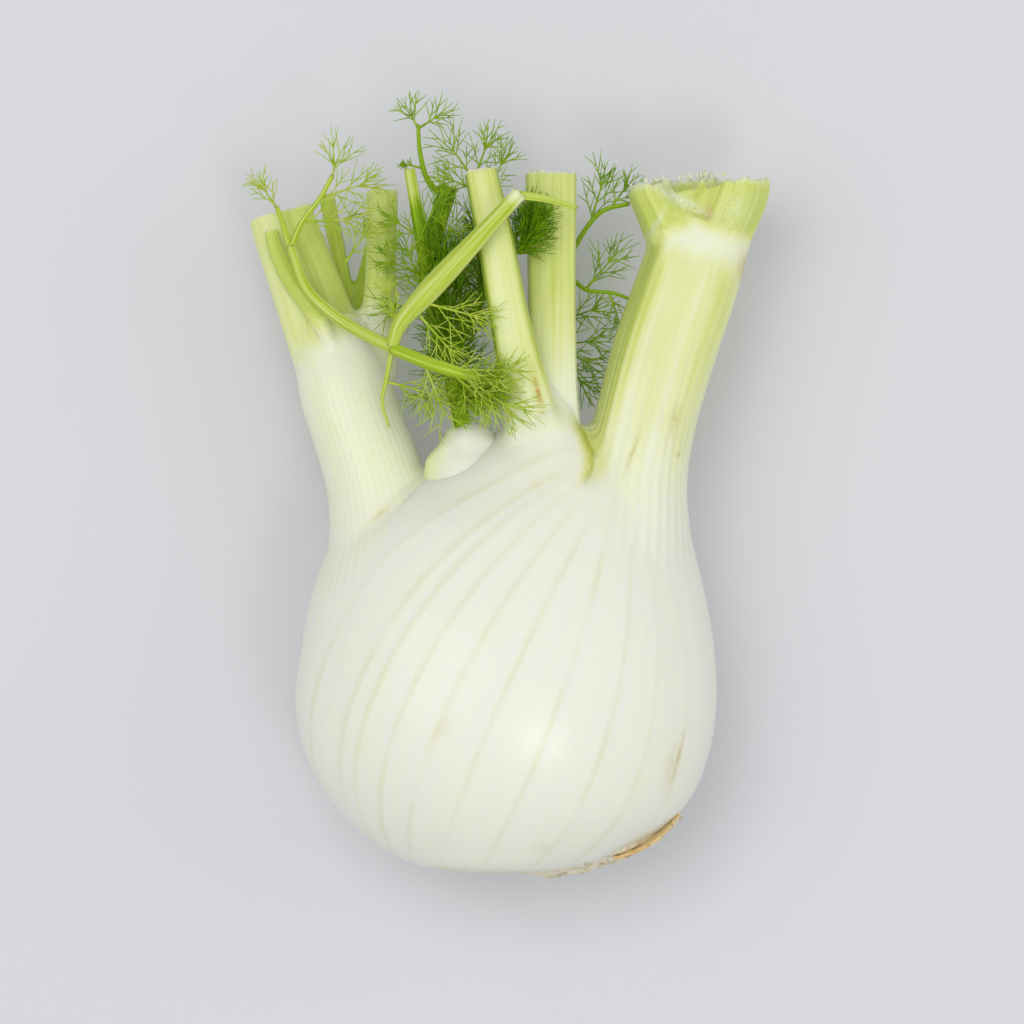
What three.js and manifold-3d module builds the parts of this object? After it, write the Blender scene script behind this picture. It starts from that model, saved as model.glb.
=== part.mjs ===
// Fennel bulb, lying on its belly: thick leaf bases wrapped round each other, cut stalks above them,
// feathery fronds among the stalks and a trimmed root plate below.
// Millimetres. +Z is up, +Y runs from the root plate to the stalks, and the origin is the middle of the
// flat spot that the bulb rests on.
//
// The bulb's body is a stack of ellipses, meshed as a sphere with one pole at the right stalk's foot,
// where the outer leaf's ribs meet, and one at the root, so that every rib follows a meridian. Stalks are
// lofts along curved centrelines. Fronds are stems with twigs and thread-like leaflets, placed by a rule
// with seeded draws.

import * as THREE from "three";
import { mergeVertices } from "three/addons/utils/BufferGeometryUtils.js";
import Module from "manifold-3d";

const wasm = await Module();
wasm.setup();

// ---------- driving dimensions ----------

const GAP = 0.3; // clearance between leaves that lie against each other
const BODY_START = -58; // root end of the bulb's body, before it is trimmed
const BODY_END = 55; // top of the body, where the middle leaves come out
const RIB_COUNT = 24; // ribs round the outer leaf
const RIB_DEPTH = 0.6;
const MERIDIANS_PER_RIB = 2;
const PARALLELS = 16;
const MARGIN_STEP = 0.9; // the outer leaf's edge stands this proud of the leaf under it
const LEAFLET_RADIUS = 0.45;
const TWIG_RADIUS = 0.65;
const LEAFLET_SPACING = 3.7; // from one pair of leaflets to the next on a twig
const GOLDEN_ANGLE = Math.PI * (3 - Math.sqrt(5));

// The body's section at stations evenly spaced in angle from the root to the top: its left and right
// edge in X, and its lowest and highest point in Z.
const BODY = [
  [-3, -3, 40, 40],
  [-21, 17, 26, 57],
  [-33, 33, 16, 64.5],
  [-42.8, 44.6, 8, 71],
  [-49.8, 50.3, 2.8, 75.5],
  [-52.7, 52.6, 0, 77.5],
  [-51.2, 52, -1, 77],
  [-48.2, 49.5, -1, 73.5],
  [-42, 46, 1.5, 68],
  [-27, 42, 8, 61],
  [-12, 30, 17, 56],
  [0, 21, 27, 51],
  [10, 10, 40, 40],
];
const RIB_POLE = new THREE.Vector3(26.6, 39.2, 48.6); // the ribs fan out from here
const ROOT_POLE = new THREE.Vector3(-11, -51.3, 29);

// ---------- solids ----------

// A closed geometry as a manifold solid: only its positions are kept, and shared vertices are merged.
function solidOf(geometry) {
  const bare = geometry.clone();
  bare.deleteAttribute("normal");
  bare.deleteAttribute("uv");
  const merged = mergeVertices(bare, 1e-4);
  return new wasm.Manifold(
    new wasm.Mesh({
      numProp: 3,
      vertProperties: new Float32Array(merged.attributes.position.array),
      triVerts: new Uint32Array(merged.index.array),
    }),
  );
}

function geometryOf(solid) {
  const mesh = solid.getMesh();
  const geometry = new THREE.BufferGeometry();
  geometry.setAttribute("position", new THREE.BufferAttribute(new Float32Array(mesh.vertProperties), 3));
  geometry.setIndex(new THREE.BufferAttribute(new Uint32Array(mesh.triVerts), 1));
  geometry.computeVertexNormals();
  return geometry;
}

const union = (solids) => wasm.Manifold.union(solids);

// What is left of a solid once others are cut from it, without the scraps that the cuts set loose.
function clearOf(solid, ...others) {
  const pieces = solid.subtract(union(others)).decompose();
  return pieces.reduce((a, b) => (b.volume() > a.volume() ? b : a));
}

// Moves each point of a geometry to where a rule puts it.
function reshape(geometry, rule) {
  const points = geometry.attributes.position;
  const point = new THREE.Vector3();
  for (let i = 0; i < points.count; i++) {
    point.fromBufferAttribute(points, i);
    const moved = rule(point);
    points.setXYZ(i, moved.x, moved.y, moved.z);
  }
  return geometry;
}

// ---------- smooth rules ----------

// A value at share 0 to 1 along evenly spaced stations, on a smooth curve through them.
function between(values, share) {
  const last = values.length - 1;
  const place = Math.min(Math.max(share, 0), 1) * last;
  const i = Math.min(Math.floor(place), last - 1);
  const t = place - i;
  const [b, c] = [values[i], values[i + 1]];
  const a = values[Math.max(i - 1, 0)];
  const d = values[Math.min(i + 2, last)];
  return b + 0.5 * t * (c - a + t * (2 * a - 5 * b + 4 * c - d + t * (3 * (b - c) + d - a)));
}

// A soft hill of height 1 at x = 0.
const hill = (x, width) => Math.exp(-((x / width) ** 2));

// A repeatable run of numbers from 0 to 1.
function randomFrom(seed) {
  let state = seed >>> 0;
  return () => {
    state = (Math.imul(state, 1664525) + 1013904223) >>> 0;
    return state / 4294967296;
  };
}

const vector = (point) => new THREE.Vector3(...point);
const curveThrough = (path) => new THREE.CatmullRomCurve3(path.map(vector));

// ---------- the bulb's body ----------

// How far out a point is in its section of the body: 1 on the surface, less inside.
function bodyLevel(p, inset) {
  const share = (p.y - BODY_START) / (BODY_END - BODY_START);
  if (share <= 0 || share >= 1) return Infinity;
  const angle = Math.acos(1 - 2 * share) / Math.PI;
  const [left, right, low, high] = [0, 1, 2, 3].map((k) => between(BODY.map((s) => s[k]), angle));
  const halfWidth = Math.max((right - left) / 2 - inset, 0.01);
  const halfHeight = Math.max((high - low) / 2 - inset, 0.01);
  return Math.hypot((p.x - (left + right) / 2) / halfWidth, (p.z - (low + high) / 2) / halfHeight);
}

// The point of the body's surface that lies in the direction given from the middle between the poles.
function onBody(direction, inset) {
  const middle = RIB_POLE.clone().add(ROOT_POLE).divideScalar(2);
  const point = new THREE.Vector3();
  let [near, far] = [0, 120];
  while (far - near > 1e-6) {
    const reach = (near + far) / 2;
    point.copy(middle).addScaledVector(direction, reach);
    if (bodyLevel(point, inset) < 1) near = reach;
    else far = reach;
  }
  return point;
}

function body(inset, ribDepth = 0, meridiansPerRib = MERIDIANS_PER_RIB) {
  const sphere = new THREE.SphereGeometry(1, RIB_COUNT * meridiansPerRib, PARALLELS);
  const pole = RIB_POLE.clone().sub(ROOT_POLE).normalize();
  const level = pole.clone().cross(new THREE.Vector3(0, 0, 1)).normalize();
  const turn = new THREE.Matrix4().makeBasis(level, pole, level.clone().cross(pole));
  return solidOf(
    reshape(sphere, (p) => {
      const valley = 0.5 + 0.5 * Math.cos(Math.atan2(p.z, p.x) * RIB_COUNT);
      const dip = ribDepth * valley * Math.hypot(p.x, p.z);
      const direction = p.clone().applyMatrix4(turn);
      return onBody(direction, inset).addScaledVector(direction, -dip);
    }),
  );
}

// ---------- stalks ----------

// A stalk along a smooth line through path. halfWidth and halfHeight are stations from foot to tip,
// section gives the outline's radius at an angle (0 is to the right, a quarter turn is up), and endRise
// lifts the tip's points. grow makes the same stalk thicker all round.
function stalk(shape) {
  const { path, halfWidth, halfHeight, sides, rings, section = () => 1, endRise = () => 0, grow = 0 } = shape;
  const line = curveThrough(path);
  const up = new THREE.Vector3(0, 0, 1);
  return solidOf(
    reshape(new THREE.CylinderGeometry(1, 1, 1, sides, rings), (p) => {
      const share = p.y + 0.5;
      const tangent = line.getTangentAt(share);
      const side = tangent.clone().cross(up).normalize();
      const rise = side.clone().cross(tangent);
      const radius = Math.hypot(p.x, p.z);
      const angle = Math.atan2(p.z, p.x);
      const reach = radius * section(angle, share);
      const end = share < 1e-6 ? -grow : share > 1 - 1e-6 ? grow + endRise(angle, radius) : 0;
      const width = between(halfWidth, share) * reach + radius * grow;
      const height = between(halfHeight, share) * reach + radius * grow;
      return line
        .getPointAt(share)
        .addScaledVector(tangent, end)
        .addScaledVector(side, width * Math.cos(angle))
        .addScaledVector(rise, height * Math.sin(angle));
    }),
  );
}

// A round outline with ridges along the stalk, which grow out of its smooth foot.
const ridged = (count, depth) => (angle, share) => {
  const valley = 0.5 + 0.5 * Math.cos(angle * count);
  return 1 - depth * valley * Math.min(1, 3 * share);
};

// A cut end, hollowed in the middle and uneven along its rim.
function roughEnd(seed, hollow, height) {
  const random = randomFrom(seed);
  const [first, second] = [random() * 6, random() * 6];
  return (angle, radius) => {
    if (radius < 0.5) return -hollow;
    return height * (0.6 * Math.sin(3 * angle + first) + 0.4 * Math.sin(7 * angle + second));
  };
}

// ---------- the right stalk, which the outer leaf runs up into ----------

const RIGHT_STALK = {
  path: [
    [25, 4, 37],
    [29.5, 25, 38],
    [32.4, 46, 38.5],
    [38.4, 70, 39],
    [45.2, 90, 38],
    [49.5, 104, 37],
  ],
  halfWidth: [20, 18, 14.2, 13.1, 13.3, 13.2, 12.6],
  halfHeight: [24, 23, 18, 14, 11.8, 11, 10.5],
  sides: 26,
  rings: 8,
  // Ridged, with one sharp edge and a flat, slightly hollow inner face.
  section: (angle, share) => {
    const edge = 0.09 * hill(angle - 2.2, 0.3);
    const innerFace = 0.08 * hill(Math.abs(angle) - 2.95, 0.45);
    return ridged(13, 0.045)(angle, share) + edge - innerFace;
  },
};

// The branches above the right stalk's joint, cut off short: they flare and their ends are torn.
const RIGHT_STUMPS = [
  {
    path: [[43, 97, 38], [39.5, 105, 39], [36, 111.5, 40], [35.2, 114.5, 40]],
    halfWidth: [7, 6.3, 5.2],
    halfHeight: [9, 8.5, 7.5],
  },
  {
    path: [[46.5, 96, 38], [46, 105, 37.5], [45, 113, 37]],
    halfWidth: [8, 8, 8],
    halfHeight: [8.5, 8, 7.5],
  },
  {
    path: [[50.5, 96, 37], [54, 106, 37.5], [56.3, 112, 38], [56.7, 116, 38]],
    halfWidth: [9.2, 9.6, 9.9],
    halfHeight: [9.5, 9.5, 9.5],
  },
];
const STUMP_FINISH = { sides: 14, rings: 2, section: ridged(7, 0.07) };
const STUMP_HOLLOW = 3; // how deep a stump's end is hollowed
const STUMP_TEAR = 1.3; // how far its rim stands up and down

// ---------- the left stalk and its branches ----------

const LEFT_STALK = {
  path: [
    [-24, -8, 37],
    [-27.5, 12, 37],
    [-32.2, 38, 36.5],
    [-39.4, 60, 35.5],
    [-43.3, 74, 34.5],
    [-45, 80, 34],
  ],
  halfWidth: [18, 19, 15.6, 12.9, 11.9, 11.6, 9],
  halfHeight: [20, 20.5, 18, 14, 12, 10.5, 7],
  sides: 26,
  rings: 8,
  section: ridged(13, 0.045),
};

// The broad cut blade with its open channel, the upright branch, two thin ones behind and a slim shoot.
const LEFT_BRANCHES = [
  {
    path: [[-42, 66, 34], [-49.5, 87, 33], [-57, 107, 32]],
    halfWidth: [10, 9.2, 8.2],
    halfHeight: [8, 6.2, 5.4],
    sides: 18,
    rings: 5,
    section: (angle) => 1 - 0.42 * hill(angle - 1.2, 0.75),
  },
  {
    path: [[-33.5, 66, 33], [-31.5, 88, 34], [-31, 113, 33]],
    halfWidth: [6.5, 4.2, 4.1],
    halfHeight: [6, 4, 3.8],
    sides: 14,
    rings: 4,
    section: ridged(7, 0.07),
  },
  {
    path: [[-38, 70, 29], [-41.5, 92, 25], [-45.5, 112, 22]],
    halfWidth: [3, 2.2, 2.1],
    halfHeight: [3, 2.2, 2.1],
    sides: 7,
    rings: 4,
  },
  {
    path: [[-35, 66, 29], [-37, 84, 25], [-33.5, 101, 22]],
    halfWidth: [3, 2.1, 1.9],
    halfHeight: [3, 2.1, 1.9],
    sides: 7,
    rings: 4,
  },
  {
    path: [[-41, 70, 43], [-47, 80, 44.5], [-53.5, 89, 43.5], [-57.5, 98, 42], [-58.5, 102.5, 41.5]],
    halfWidth: [2.7, 2.5, 2.2, 1.9],
    halfHeight: [2.7, 2.4, 2.1, 1.8],
    sides: 7,
    rings: 8,
  },
];

// ---------- the middle leaves ----------

const NARROW_STALK = {
  path: [
    [9, 38, 46],
    [6.5, 54, 50.5],
    [3.8, 66, 53.5],
    [0, 84, 55],
    [-2.4, 98, 54],
    [-6.2, 116, 50.5],
  ],
  halfWidth: [8, 7.4, 6.2, 5.2, 4.8, 4.6, 4.3],
  halfHeight: [6, 5.5, 5, 4.4, 4.1, 4, 3.9],
  sides: 20,
  rings: 8,
  section: ridged(10, 0.06),
};

const BROAD_STALK = {
  path: [
    [12, 34, 38],
    [11.8, 50, 40],
    [11.6, 66, 41],
    [11.4, 85, 40.5],
    [11.3, 100, 39.5],
    [11.2, 116.5, 38],
  ],
  halfWidth: [8.6, 7.6, 6.5, 6.2, 6.2, 6.4, 6.6],
  halfHeight: [5.5, 5, 4.5, 4.3, 4.2, 4.2, 4.2],
  sides: 24,
  rings: 7,
  section: ridged(12, 0.06),
};

// The outer leaf's thin edge, drawn up round the middle stalks' feet.
const COLLAR = {
  path: [[8, 32, 42], [9.3, 46, 45], [9, 57, 47.5]],
  halfWidth: [18, 13.5, 9.3],
  halfHeight: [21, 14.5, 9.2],
  sides: 24,
  rings: 4,
  endRise: (angle, radius) => (radius < 0.5 ? 0 : 2.5 * Math.sin(angle) - 1),
};

// The white leaf base that bulges out beside the middle stalks.
const HEART = {
  path: [[-3, 16, 42], [-7, 32, 43], [-9, 44, 44], [-9.5, 50, 44.5], [-9.5, 53.5, 44.5]],
  halfWidth: [9, 12.5, 13.5, 12.8, 10.5, 5],
  halfHeight: [8, 11, 12, 11.5, 9, 5],
  sides: 18,
  rings: 7,
};

// ---------- where leaves part ----------

// The seam where the outer leaf's edge lies on the left leaf, from the stalk down to the root, in X and Y
// at half the bulb's height. It slants, so that the outer leaf laps over the left one.
const SEAM = [
  [-12, 60],
  [-16, 44],
  [-21, 34],
  [-28, 24],
  [-34, 11],
  [-37, -5],
  [-36.5, -22],
  [-31, -39],
  [-21, -54],
  [-12, -62],
];
const SEAM_HEIGHT = 38;
const SEAM_SLANT = 0.35;

// Everything to the left of the seam, moved by grow.
function leftOfSeam(grow) {
  const seam = new THREE.SplineCurve(SEAM.map(([x, y]) => new THREE.Vector2(x + grow, y)));
  const outline = new THREE.Shape(seam.getPoints(9));
  outline.lineTo(-110, -70);
  outline.lineTo(-110, 60);
  const slab = new THREE.ExtrudeGeometry(outline, { depth: 100, bevelEnabled: false }).translate(0, 0, -10);
  return solidOf(reshape(slab, (p) => p.clone().setX(p.x + SEAM_SLANT * (SEAM_HEIGHT - p.z))));
}

const aboveGround = solidOf(new THREE.BoxGeometry(300, 300, 200).translate(0, 0, 100));

// ---------- root end ----------

const ROOT_PLATE = {
  centre: [17, -52, 36],
  turn: 0.25, // towards the right
  lean: -0.1, // towards the ground
  halfWidth: 24,
  halfHeight: 17,
  depth: 6.2,
  sides: 24,
  // The rings of old leaf scars, from the middle to the rim: shares of the radius and of the depth.
  steps: [
    [0, -1],
    [0.32, -0.98],
    [0.4, -0.86],
    [0.64, -0.82],
    [0.74, -0.6],
    [1, -0.15],
    [0.96, 0.2],
    [0, 0.2],
  ],
};

// A corky plate that caps the root end.
function rootPlate(grow = 0) {
  const { centre, turn, lean, halfWidth, halfHeight, depth, sides, steps } = ROOT_PLATE;
  const profile = steps.map(([r, h]) => new THREE.Vector2(r, h));
  const plate = reshape(new THREE.LatheGeometry(profile, sides), (p) => {
    const angle = Math.atan2(p.z, p.x);
    const wobble = 1 + 0.03 * Math.sin(5 * angle + 1) + 0.02 * Math.sin(11 * angle);
    const uneven = 1 + 0.06 * Math.sin(7 * angle);
    const [width, height] = [halfWidth + grow, halfHeight + grow];
    return new THREE.Vector3(p.x * wobble * width, p.y * uneven * (depth + grow), p.z * wobble * height);
  });
  plate.rotateX(lean).rotateZ(turn).translate(...centre);
  return clearOf(solidOf(plate), body(grow - GAP, 0));
}

const DRY_SCALE = {
  centre: [35.4, -49.4, 43],
  turn: 0.6,
  length: 19,
  width: 16,
  thickness: 1.2,
  bow: 1.8, // how far its middle stands off
  cup: 3, // how far its long edges curl in
};

// A dried scrap of an old leaf base, bowed away from the bulb between the root plate and its tip.
function dryScale() {
  const { centre, turn, length, width, thickness, bow, cup } = DRY_SCALE;
  const flap = reshape(new THREE.BoxGeometry(length, thickness, width, 8, 1, 6), (p) => {
    const along = (2 * p.x) / length;
    const across = (2 * p.z) / width;
    const taper = 0.75 - 0.25 * along - 0.3 * along * along;
    const lift = cup * (across * taper) ** 2 - bow * (1 - along * along);
    return new THREE.Vector3(p.x, p.y + lift, p.z * taper);
  });
  flap.rotateZ(turn).translate(...centre);
  return clearOf(solidOf(flap), body(-GAP), rootPlate(GAP));
}

// ---------- fronds ----------

// A tapered rod between two points.
function rod(from, to, fromRadius, toRadius, sides) {
  const along = to.clone().sub(from);
  const shape = new THREE.CylinderGeometry(toRadius, fromRadius, along.length(), sides, 1);
  const turn = new THREE.Quaternion().setFromUnitVectors(new THREE.Vector3(0, 1, 0), along.normalize());
  const middle = from.clone().lerp(to, 0.5);
  return solidOf(shape.applyQuaternion(turn).translate(middle.x, middle.y, middle.z));
}

const leaflet = (foot, tip, grow) => rod(foot, tip, LEAFLET_RADIUS + grow, grow, 3);

// A stem through points, thinning from its foot to its tip.
function stem({ path, radius, sides = 5 }, grow) {
  const rings = path.length + 1;
  return stalk({ path, halfWidth: radius, halfHeight: radius, sides, rings, grow });
}

// Two directions square to an axis, the first of them level.
function acrossOf(axis) {
  const level = axis.clone().cross(new THREE.Vector3(0, 0.2, 1)).normalize();
  return [level, level.clone().cross(axis)];
}

// A twig with pairs of leaflets along it and one at its tip.
function spray([from, to, reach], random, grow) {
  const [start, end] = [vector(from), vector(to)];
  const length = start.distanceTo(end);
  const axis = end.clone().sub(start).normalize();
  const [level, face] = acrossOf(axis);
  const pairs = Math.max(1, Math.round(length / LEAFLET_SPACING));
  const parts = [rod(start, end, TWIG_RADIUS + grow, TWIG_RADIUS * 0.8 + grow, 4)];
  for (let i = 0; i < pairs; i++) {
    for (const hand of [-1, 1]) {
      const share = (i + 0.6 + 0.3 * random()) / pairs;
      const roll = (random() - 0.5) * 1.7;
      const spread = 0.6 + 0.4 * random();
      const out = level.clone().multiplyScalar(hand * Math.cos(roll)).addScaledVector(face, Math.sin(roll));
      const way = axis.clone().multiplyScalar(Math.cos(spread)).addScaledVector(out, Math.sin(spread));
      const foot = start.clone().addScaledVector(axis, length * share);
      parts.push(leaflet(foot, foot.clone().addScaledVector(way, reach * (0.8 + 0.4 * random())), grow));
    }
  }
  const tip = end.clone().addScaledVector(axis, reach * 0.8);
  parts.push(leaflet(end.addScaledVector(axis, -TWIG_RADIUS), tip, grow));
  return union(parts);
}

// A dense plume: a slim core with leaflets standing out all round it.
function plume({ from, to, core, leaflets, reach }, random, grow) {
  const [start, end] = [vector(from), vector(to)];
  const axis = end.clone().sub(start);
  const [level, face] = acrossOf(axis.clone().normalize());
  const middle = start.clone().lerp(end, 0.5);
  const radius = [core * 0.6, core, core, core * 0.4];
  const parts = [stem({ path: [from, middle.toArray(), to], radius, sides: 6 }, grow)];
  for (let i = 0; i < leaflets; i++) {
    const share = (i + 0.5) / leaflets;
    const out = level
      .clone()
      .multiplyScalar(Math.cos(i * GOLDEN_ANGLE))
      .addScaledVector(face, Math.sin(i * GOLDEN_ANGLE));
    const way = out.clone().addScaledVector(axis.clone().normalize(), 0.3 + 1.1 * share).normalize();
    const foot = start.clone().lerp(end, share).addScaledVector(out, between(radius, share) * 0.7);
    parts.push(leaflet(foot, foot.clone().addScaledVector(way, reach * (0.75 + 0.5 * random())), grow));
  }
  return union(parts);
}

function frond({ seed, stems, sprays = [], plumes = [] }, grow = 0) {
  const random = randomFrom(seed);
  return union([
    ...stems.map((s) => stem(s, grow)),
    ...sprays.map((s) => spray(s, random, grow)),
    ...plumes.map((p) => plume(p, random, grow)),
  ]);
}

// The light frond that lies over the front: a stem out of the heart to a joint beside the left stalk, and
// from there the broken midrib up to the right, a thin branch up to the left and a curl below.
const FRONT_FROND = {
  seed: 7,
  stems: [
    {
      path: [[-4, 53, 58.5], [-9, 63, 60.5], [-18, 67.5, 59.5], [-28, 72, 56.5]],
      radius: [1.8, 1.6],
      sides: 7,
    },
    {
      path: [[-28, 72, 56.5], [-24.8, 81, 58.5], [-11, 95.3, 62], [3.5, 110, 63]],
      radius: [1.7, 3.1, 2.6, 2.1],
      sides: 8,
    },
    {
      path: [[-27, 72, 56.5], [-40, 79, 50.5], [-49, 87, 48.5], [-53.5, 98, 46]],
      radius: [1.6, 1.5, 1.2],
      sides: 6,
    },
    {
      path: [[-28, 72, 56], [-29, 64, 54.5], [-30.5, 58, 54], [-28.5, 54, 54]],
      radius: [0.9, 0.6],
    },
    {
      path: [[-53.5, 97, 46], [-50.5, 104, 46], [-46, 110, 46], [-43, 115.5, 46]],
      radius: [0.9, 0.6],
    },
    { path: [[-53.5, 97, 46], [-55.5, 104, 45], [-57, 108, 45]], radius: [0.9, 0.6] },
    { path: [[3, 109.5, 63], [10, 108.5, 61.5], [17.5, 106.5, 58.5]], radius: [1.1, 0.6] },
  ],
  sprays: [
    [[-9, 63, 60.5], [2, 58, 62], 8],
    [[-12, 65, 60.5], [-4, 53, 60], 8],
    [[-14, 66, 60], [2, 66, 62], 8],
    [[-20, 68.5, 59], [-15, 56, 58], 8],
    [[-29, 64, 54.5], [-18, 61, 56], 8],
    [[-19, 83, 60.5], [-8, 80, 61.5], 7],
    [[-21, 80, 59.5], [-14, 72, 60], 6],
    [[-56.6, 107, 45], [-60, 112, 45.5], 5],
    [[-50.5, 104, 46], [-40, 104.5, 47], 8],
    [[-46, 110, 46], [-36, 113, 47], 8],
    [[-43, 115.5, 46], [-42.5, 118, 46], 8],
    [[-39, 94, 44], [-32, 101, 46], 8],
  ],
  plumes: [{ from: [-13, 57, 54], to: [0, 62, 59], core: 3, leaflets: 24, reach: 7 }],
};

// The dark frond that rises from the heart behind the middle stalks: its main stem ends in two cut
// stalks, and thin sprays stand up past them.
const HEART_FROND = {
  seed: 21,
  stems: [
    {
      path: [[-10, 50, 47], [-13, 64, 45], [-18, 82, 43], [-21, 100, 42], [-24, 117.5, 42]],
      radius: [2.2, 2, 1.5],
      sides: 7,
    },
    { path: [[-17, 82, 43], [-18.5, 97, 40], [-14.5, 113, 37]], radius: [2.2, 2.4, 2.5], sides: 7 },
    {
      path: [[-15, 110, 38], [-19.5, 115, 37], [-21.5, 122, 36], [-22, 129, 36]],
      radius: [0.9, 0.6],
    },
    { path: [[-14, 70, 43.5], [-6, 86, 41], [-5, 102, 41], [-8, 116, 40]], radius: [1.5, 1, 0.7] },
    { path: [[-6, 88, 41], [-1, 94, 45.5], [5, 98, 49]], radius: [1.1, 0.9] },
  ],
  sprays: [
    [[-22, 128, 36], [-23.5, 131, 36], 6],
    [[-22, 128, 36], [-18, 130.5, 36.5], 6],
    [[-20.5, 118, 36.5], [-25, 119, 36], 2],
    [[-8, 115, 40], [-13, 122, 39], 7],
    [[-8, 115, 40], [-5, 123, 40], 7],
    [[-7, 112, 40], [-14, 115, 41], 6],
    [[-6, 108, 41], [-1, 119, 42], 6],
    [[-21, 100, 42], [-27, 104, 43], 6],
    [[-19, 90, 43], [-28, 94, 43], 7],
    [[-18, 84, 43], [-27, 83, 44], 7],
    [[-14, 70, 44.5], [-20, 61, 46], 6],
  ],
  plumes: [
    { from: [-13, 64, 45], to: [-14.5, 96, 44], core: 2.6, leaflets: 38, reach: 8.5 },
    { from: [-6, 78, 42], to: [-7, 104, 41.5], core: 1.6, leaflets: 16, reach: 7.5 },
    { from: [3, 96, 48], to: [7, 105, 50], core: 1.5, leaflets: 20, reach: 7 },
  ],
};

// The thin frond that reaches out to the right, behind the broad stalk.
const RIGHT_FROND = {
  seed: 46,
  stems: [
    {
      path: [[9, 52, 30], [12, 72, 27], [14, 90, 27], [17.5, 99, 29], [24, 107.5, 31], [31, 109.5, 32]],
      radius: [1.5, 0.7],
      sides: 5,
    },
    { path: [[15, 93, 27.5], [20, 88, 30], [27, 87, 32], [31, 85.5, 32]], radius: [0.9, 0.6] },
  ],
  sprays: [
    [[21, 104, 30], [24, 114, 31], 7],
    [[26, 108, 31], [30, 113.5, 32], 5],
    [[20, 88, 30], [26, 95, 31], 7],
    [[26, 87, 32], [28, 81, 32], 5],
    [[13, 80, 27], [22, 83, 28], 6],
    [[12, 74, 27], [21, 75, 28], 8],
    [[12, 70, 27], [19, 65, 28], 8],
    [[12, 74, 27], [20, 70, 28], 7],
  ],
};

// ---------- materials ----------

const finish = (color, roughness) => new THREE.MeshStandardMaterial({ color, roughness, metalness: 0 });
const FINISH = {
  outerLeaf: finish("#e6e7d6", 0.35),
  leftLeaf: finish("#e8ecc8", 0.4),
  middleLeaf: finish("#d8e29a", 0.4),
  heartLeaf: finish("#d1d6c0", 0.45),
  rootPlate: finish("#dad5bd", 0.8),
  dryScale: finish("#ac8d53", 0.85),
  lightFrond: finish("#8fb035", 0.5),
  darkFrond: finish("#5f7d18", 0.5),
};

// ---------- assembly ----------

const grown = (shape) => stalk({ ...shape, grow: GAP });
const leftBranches = LEFT_BRANCHES.map(stalk);
const stumps = RIGHT_STUMPS.map((s, i) => {
  const endRise = roughEnd(i + 5, STUMP_HOLLOW, STUMP_TEAR);
  return stalk({ ...s, ...STUMP_FINISH, endRise });
});
const rightStalk = union([stalk(RIGHT_STALK), ...stumps]);
const narrowLeaf = stalk(NARROW_STALK);
const broadLeaf = clearOf(stalk(BROAD_STALK), grown(NARROW_STALK));
const middleLeavesGrown = union([grown(NARROW_STALK), grown(BROAD_STALK)]);
const heartLeaf = clearOf(stalk(HEART), middleLeavesGrown);
const leftStalk = union([stalk(LEFT_STALK), ...leftBranches]);
const flank = body(MARGIN_STEP, 0, 1).intersect(leftOfSeam(0));
const leftLeaf = clearOf(union([leftStalk, flank]), grown(HEART), middleLeavesGrown);
const outerLeaf = clearOf(
  union([body(0, RIB_DEPTH), stalk(COLLAR), rightStalk]).intersect(aboveGround),
  grown(LEFT_STALK),
  leftOfSeam(GAP),
  grown(HEART),
  middleLeavesGrown,
);

const leavesGrown = [
  grown(RIGHT_STALK),
  grown(LEFT_STALK),
  grown(HEART),
  grown(COLLAR),
  middleLeavesGrown,
  ...LEFT_BRANCHES.map(grown),
  body(-GAP),
];
const frontFrond = clearOf(frond(FRONT_FROND), ...leavesGrown);
const heartFrond = clearOf(frond(HEART_FROND), ...leavesGrown, frond(FRONT_FROND, GAP));
const rightFrond = clearOf(frond(RIGHT_FROND), ...leavesGrown, frond(HEART_FROND, GAP), ...stumps);

const fennel = new THREE.Group();

function add(name, solid, material) {
  const mesh = new THREE.Mesh(geometryOf(solid), material);
  mesh.name = name;
  fennel.add(mesh);
}

add("outer_leaf", outerLeaf, FINISH.outerLeaf);
add("left_leaf", leftLeaf, FINISH.leftLeaf);
add("narrow_leaf", narrowLeaf, FINISH.middleLeaf);
add("broad_leaf", broadLeaf, FINISH.middleLeaf);
add("heart_leaf", heartLeaf, FINISH.heartLeaf);
add("root_plate", rootPlate(), FINISH.rootPlate);
add("dry_scale", dryScale(), FINISH.dryScale);
add("front_frond", frontFrond, FINISH.lightFrond);
add("heart_frond", heartFrond, FINISH.darkFrond);
add("right_frond", rightFrond, FINISH.darkFrond);

export default fennel;
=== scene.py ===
# %% [markdown]
# # A fennel bulb
# A fennel bulb is a stack of swollen leaf bases wrapped round each other. It lies on its belly, with its
# cut stalks at the back and the trimmed root at the front. Every piece here takes the place of one plain
# solid of the frame and keeps its form, so the shapes below are worked out from the same few tables as
# those solids: in millimetres, +Z up, +Y from the root to the stalks.

import math

import bmesh
import bpy
import numpy as np
from mathutils import Matrix, Vector
from mathutils.bvhtree import BVHTree


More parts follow.
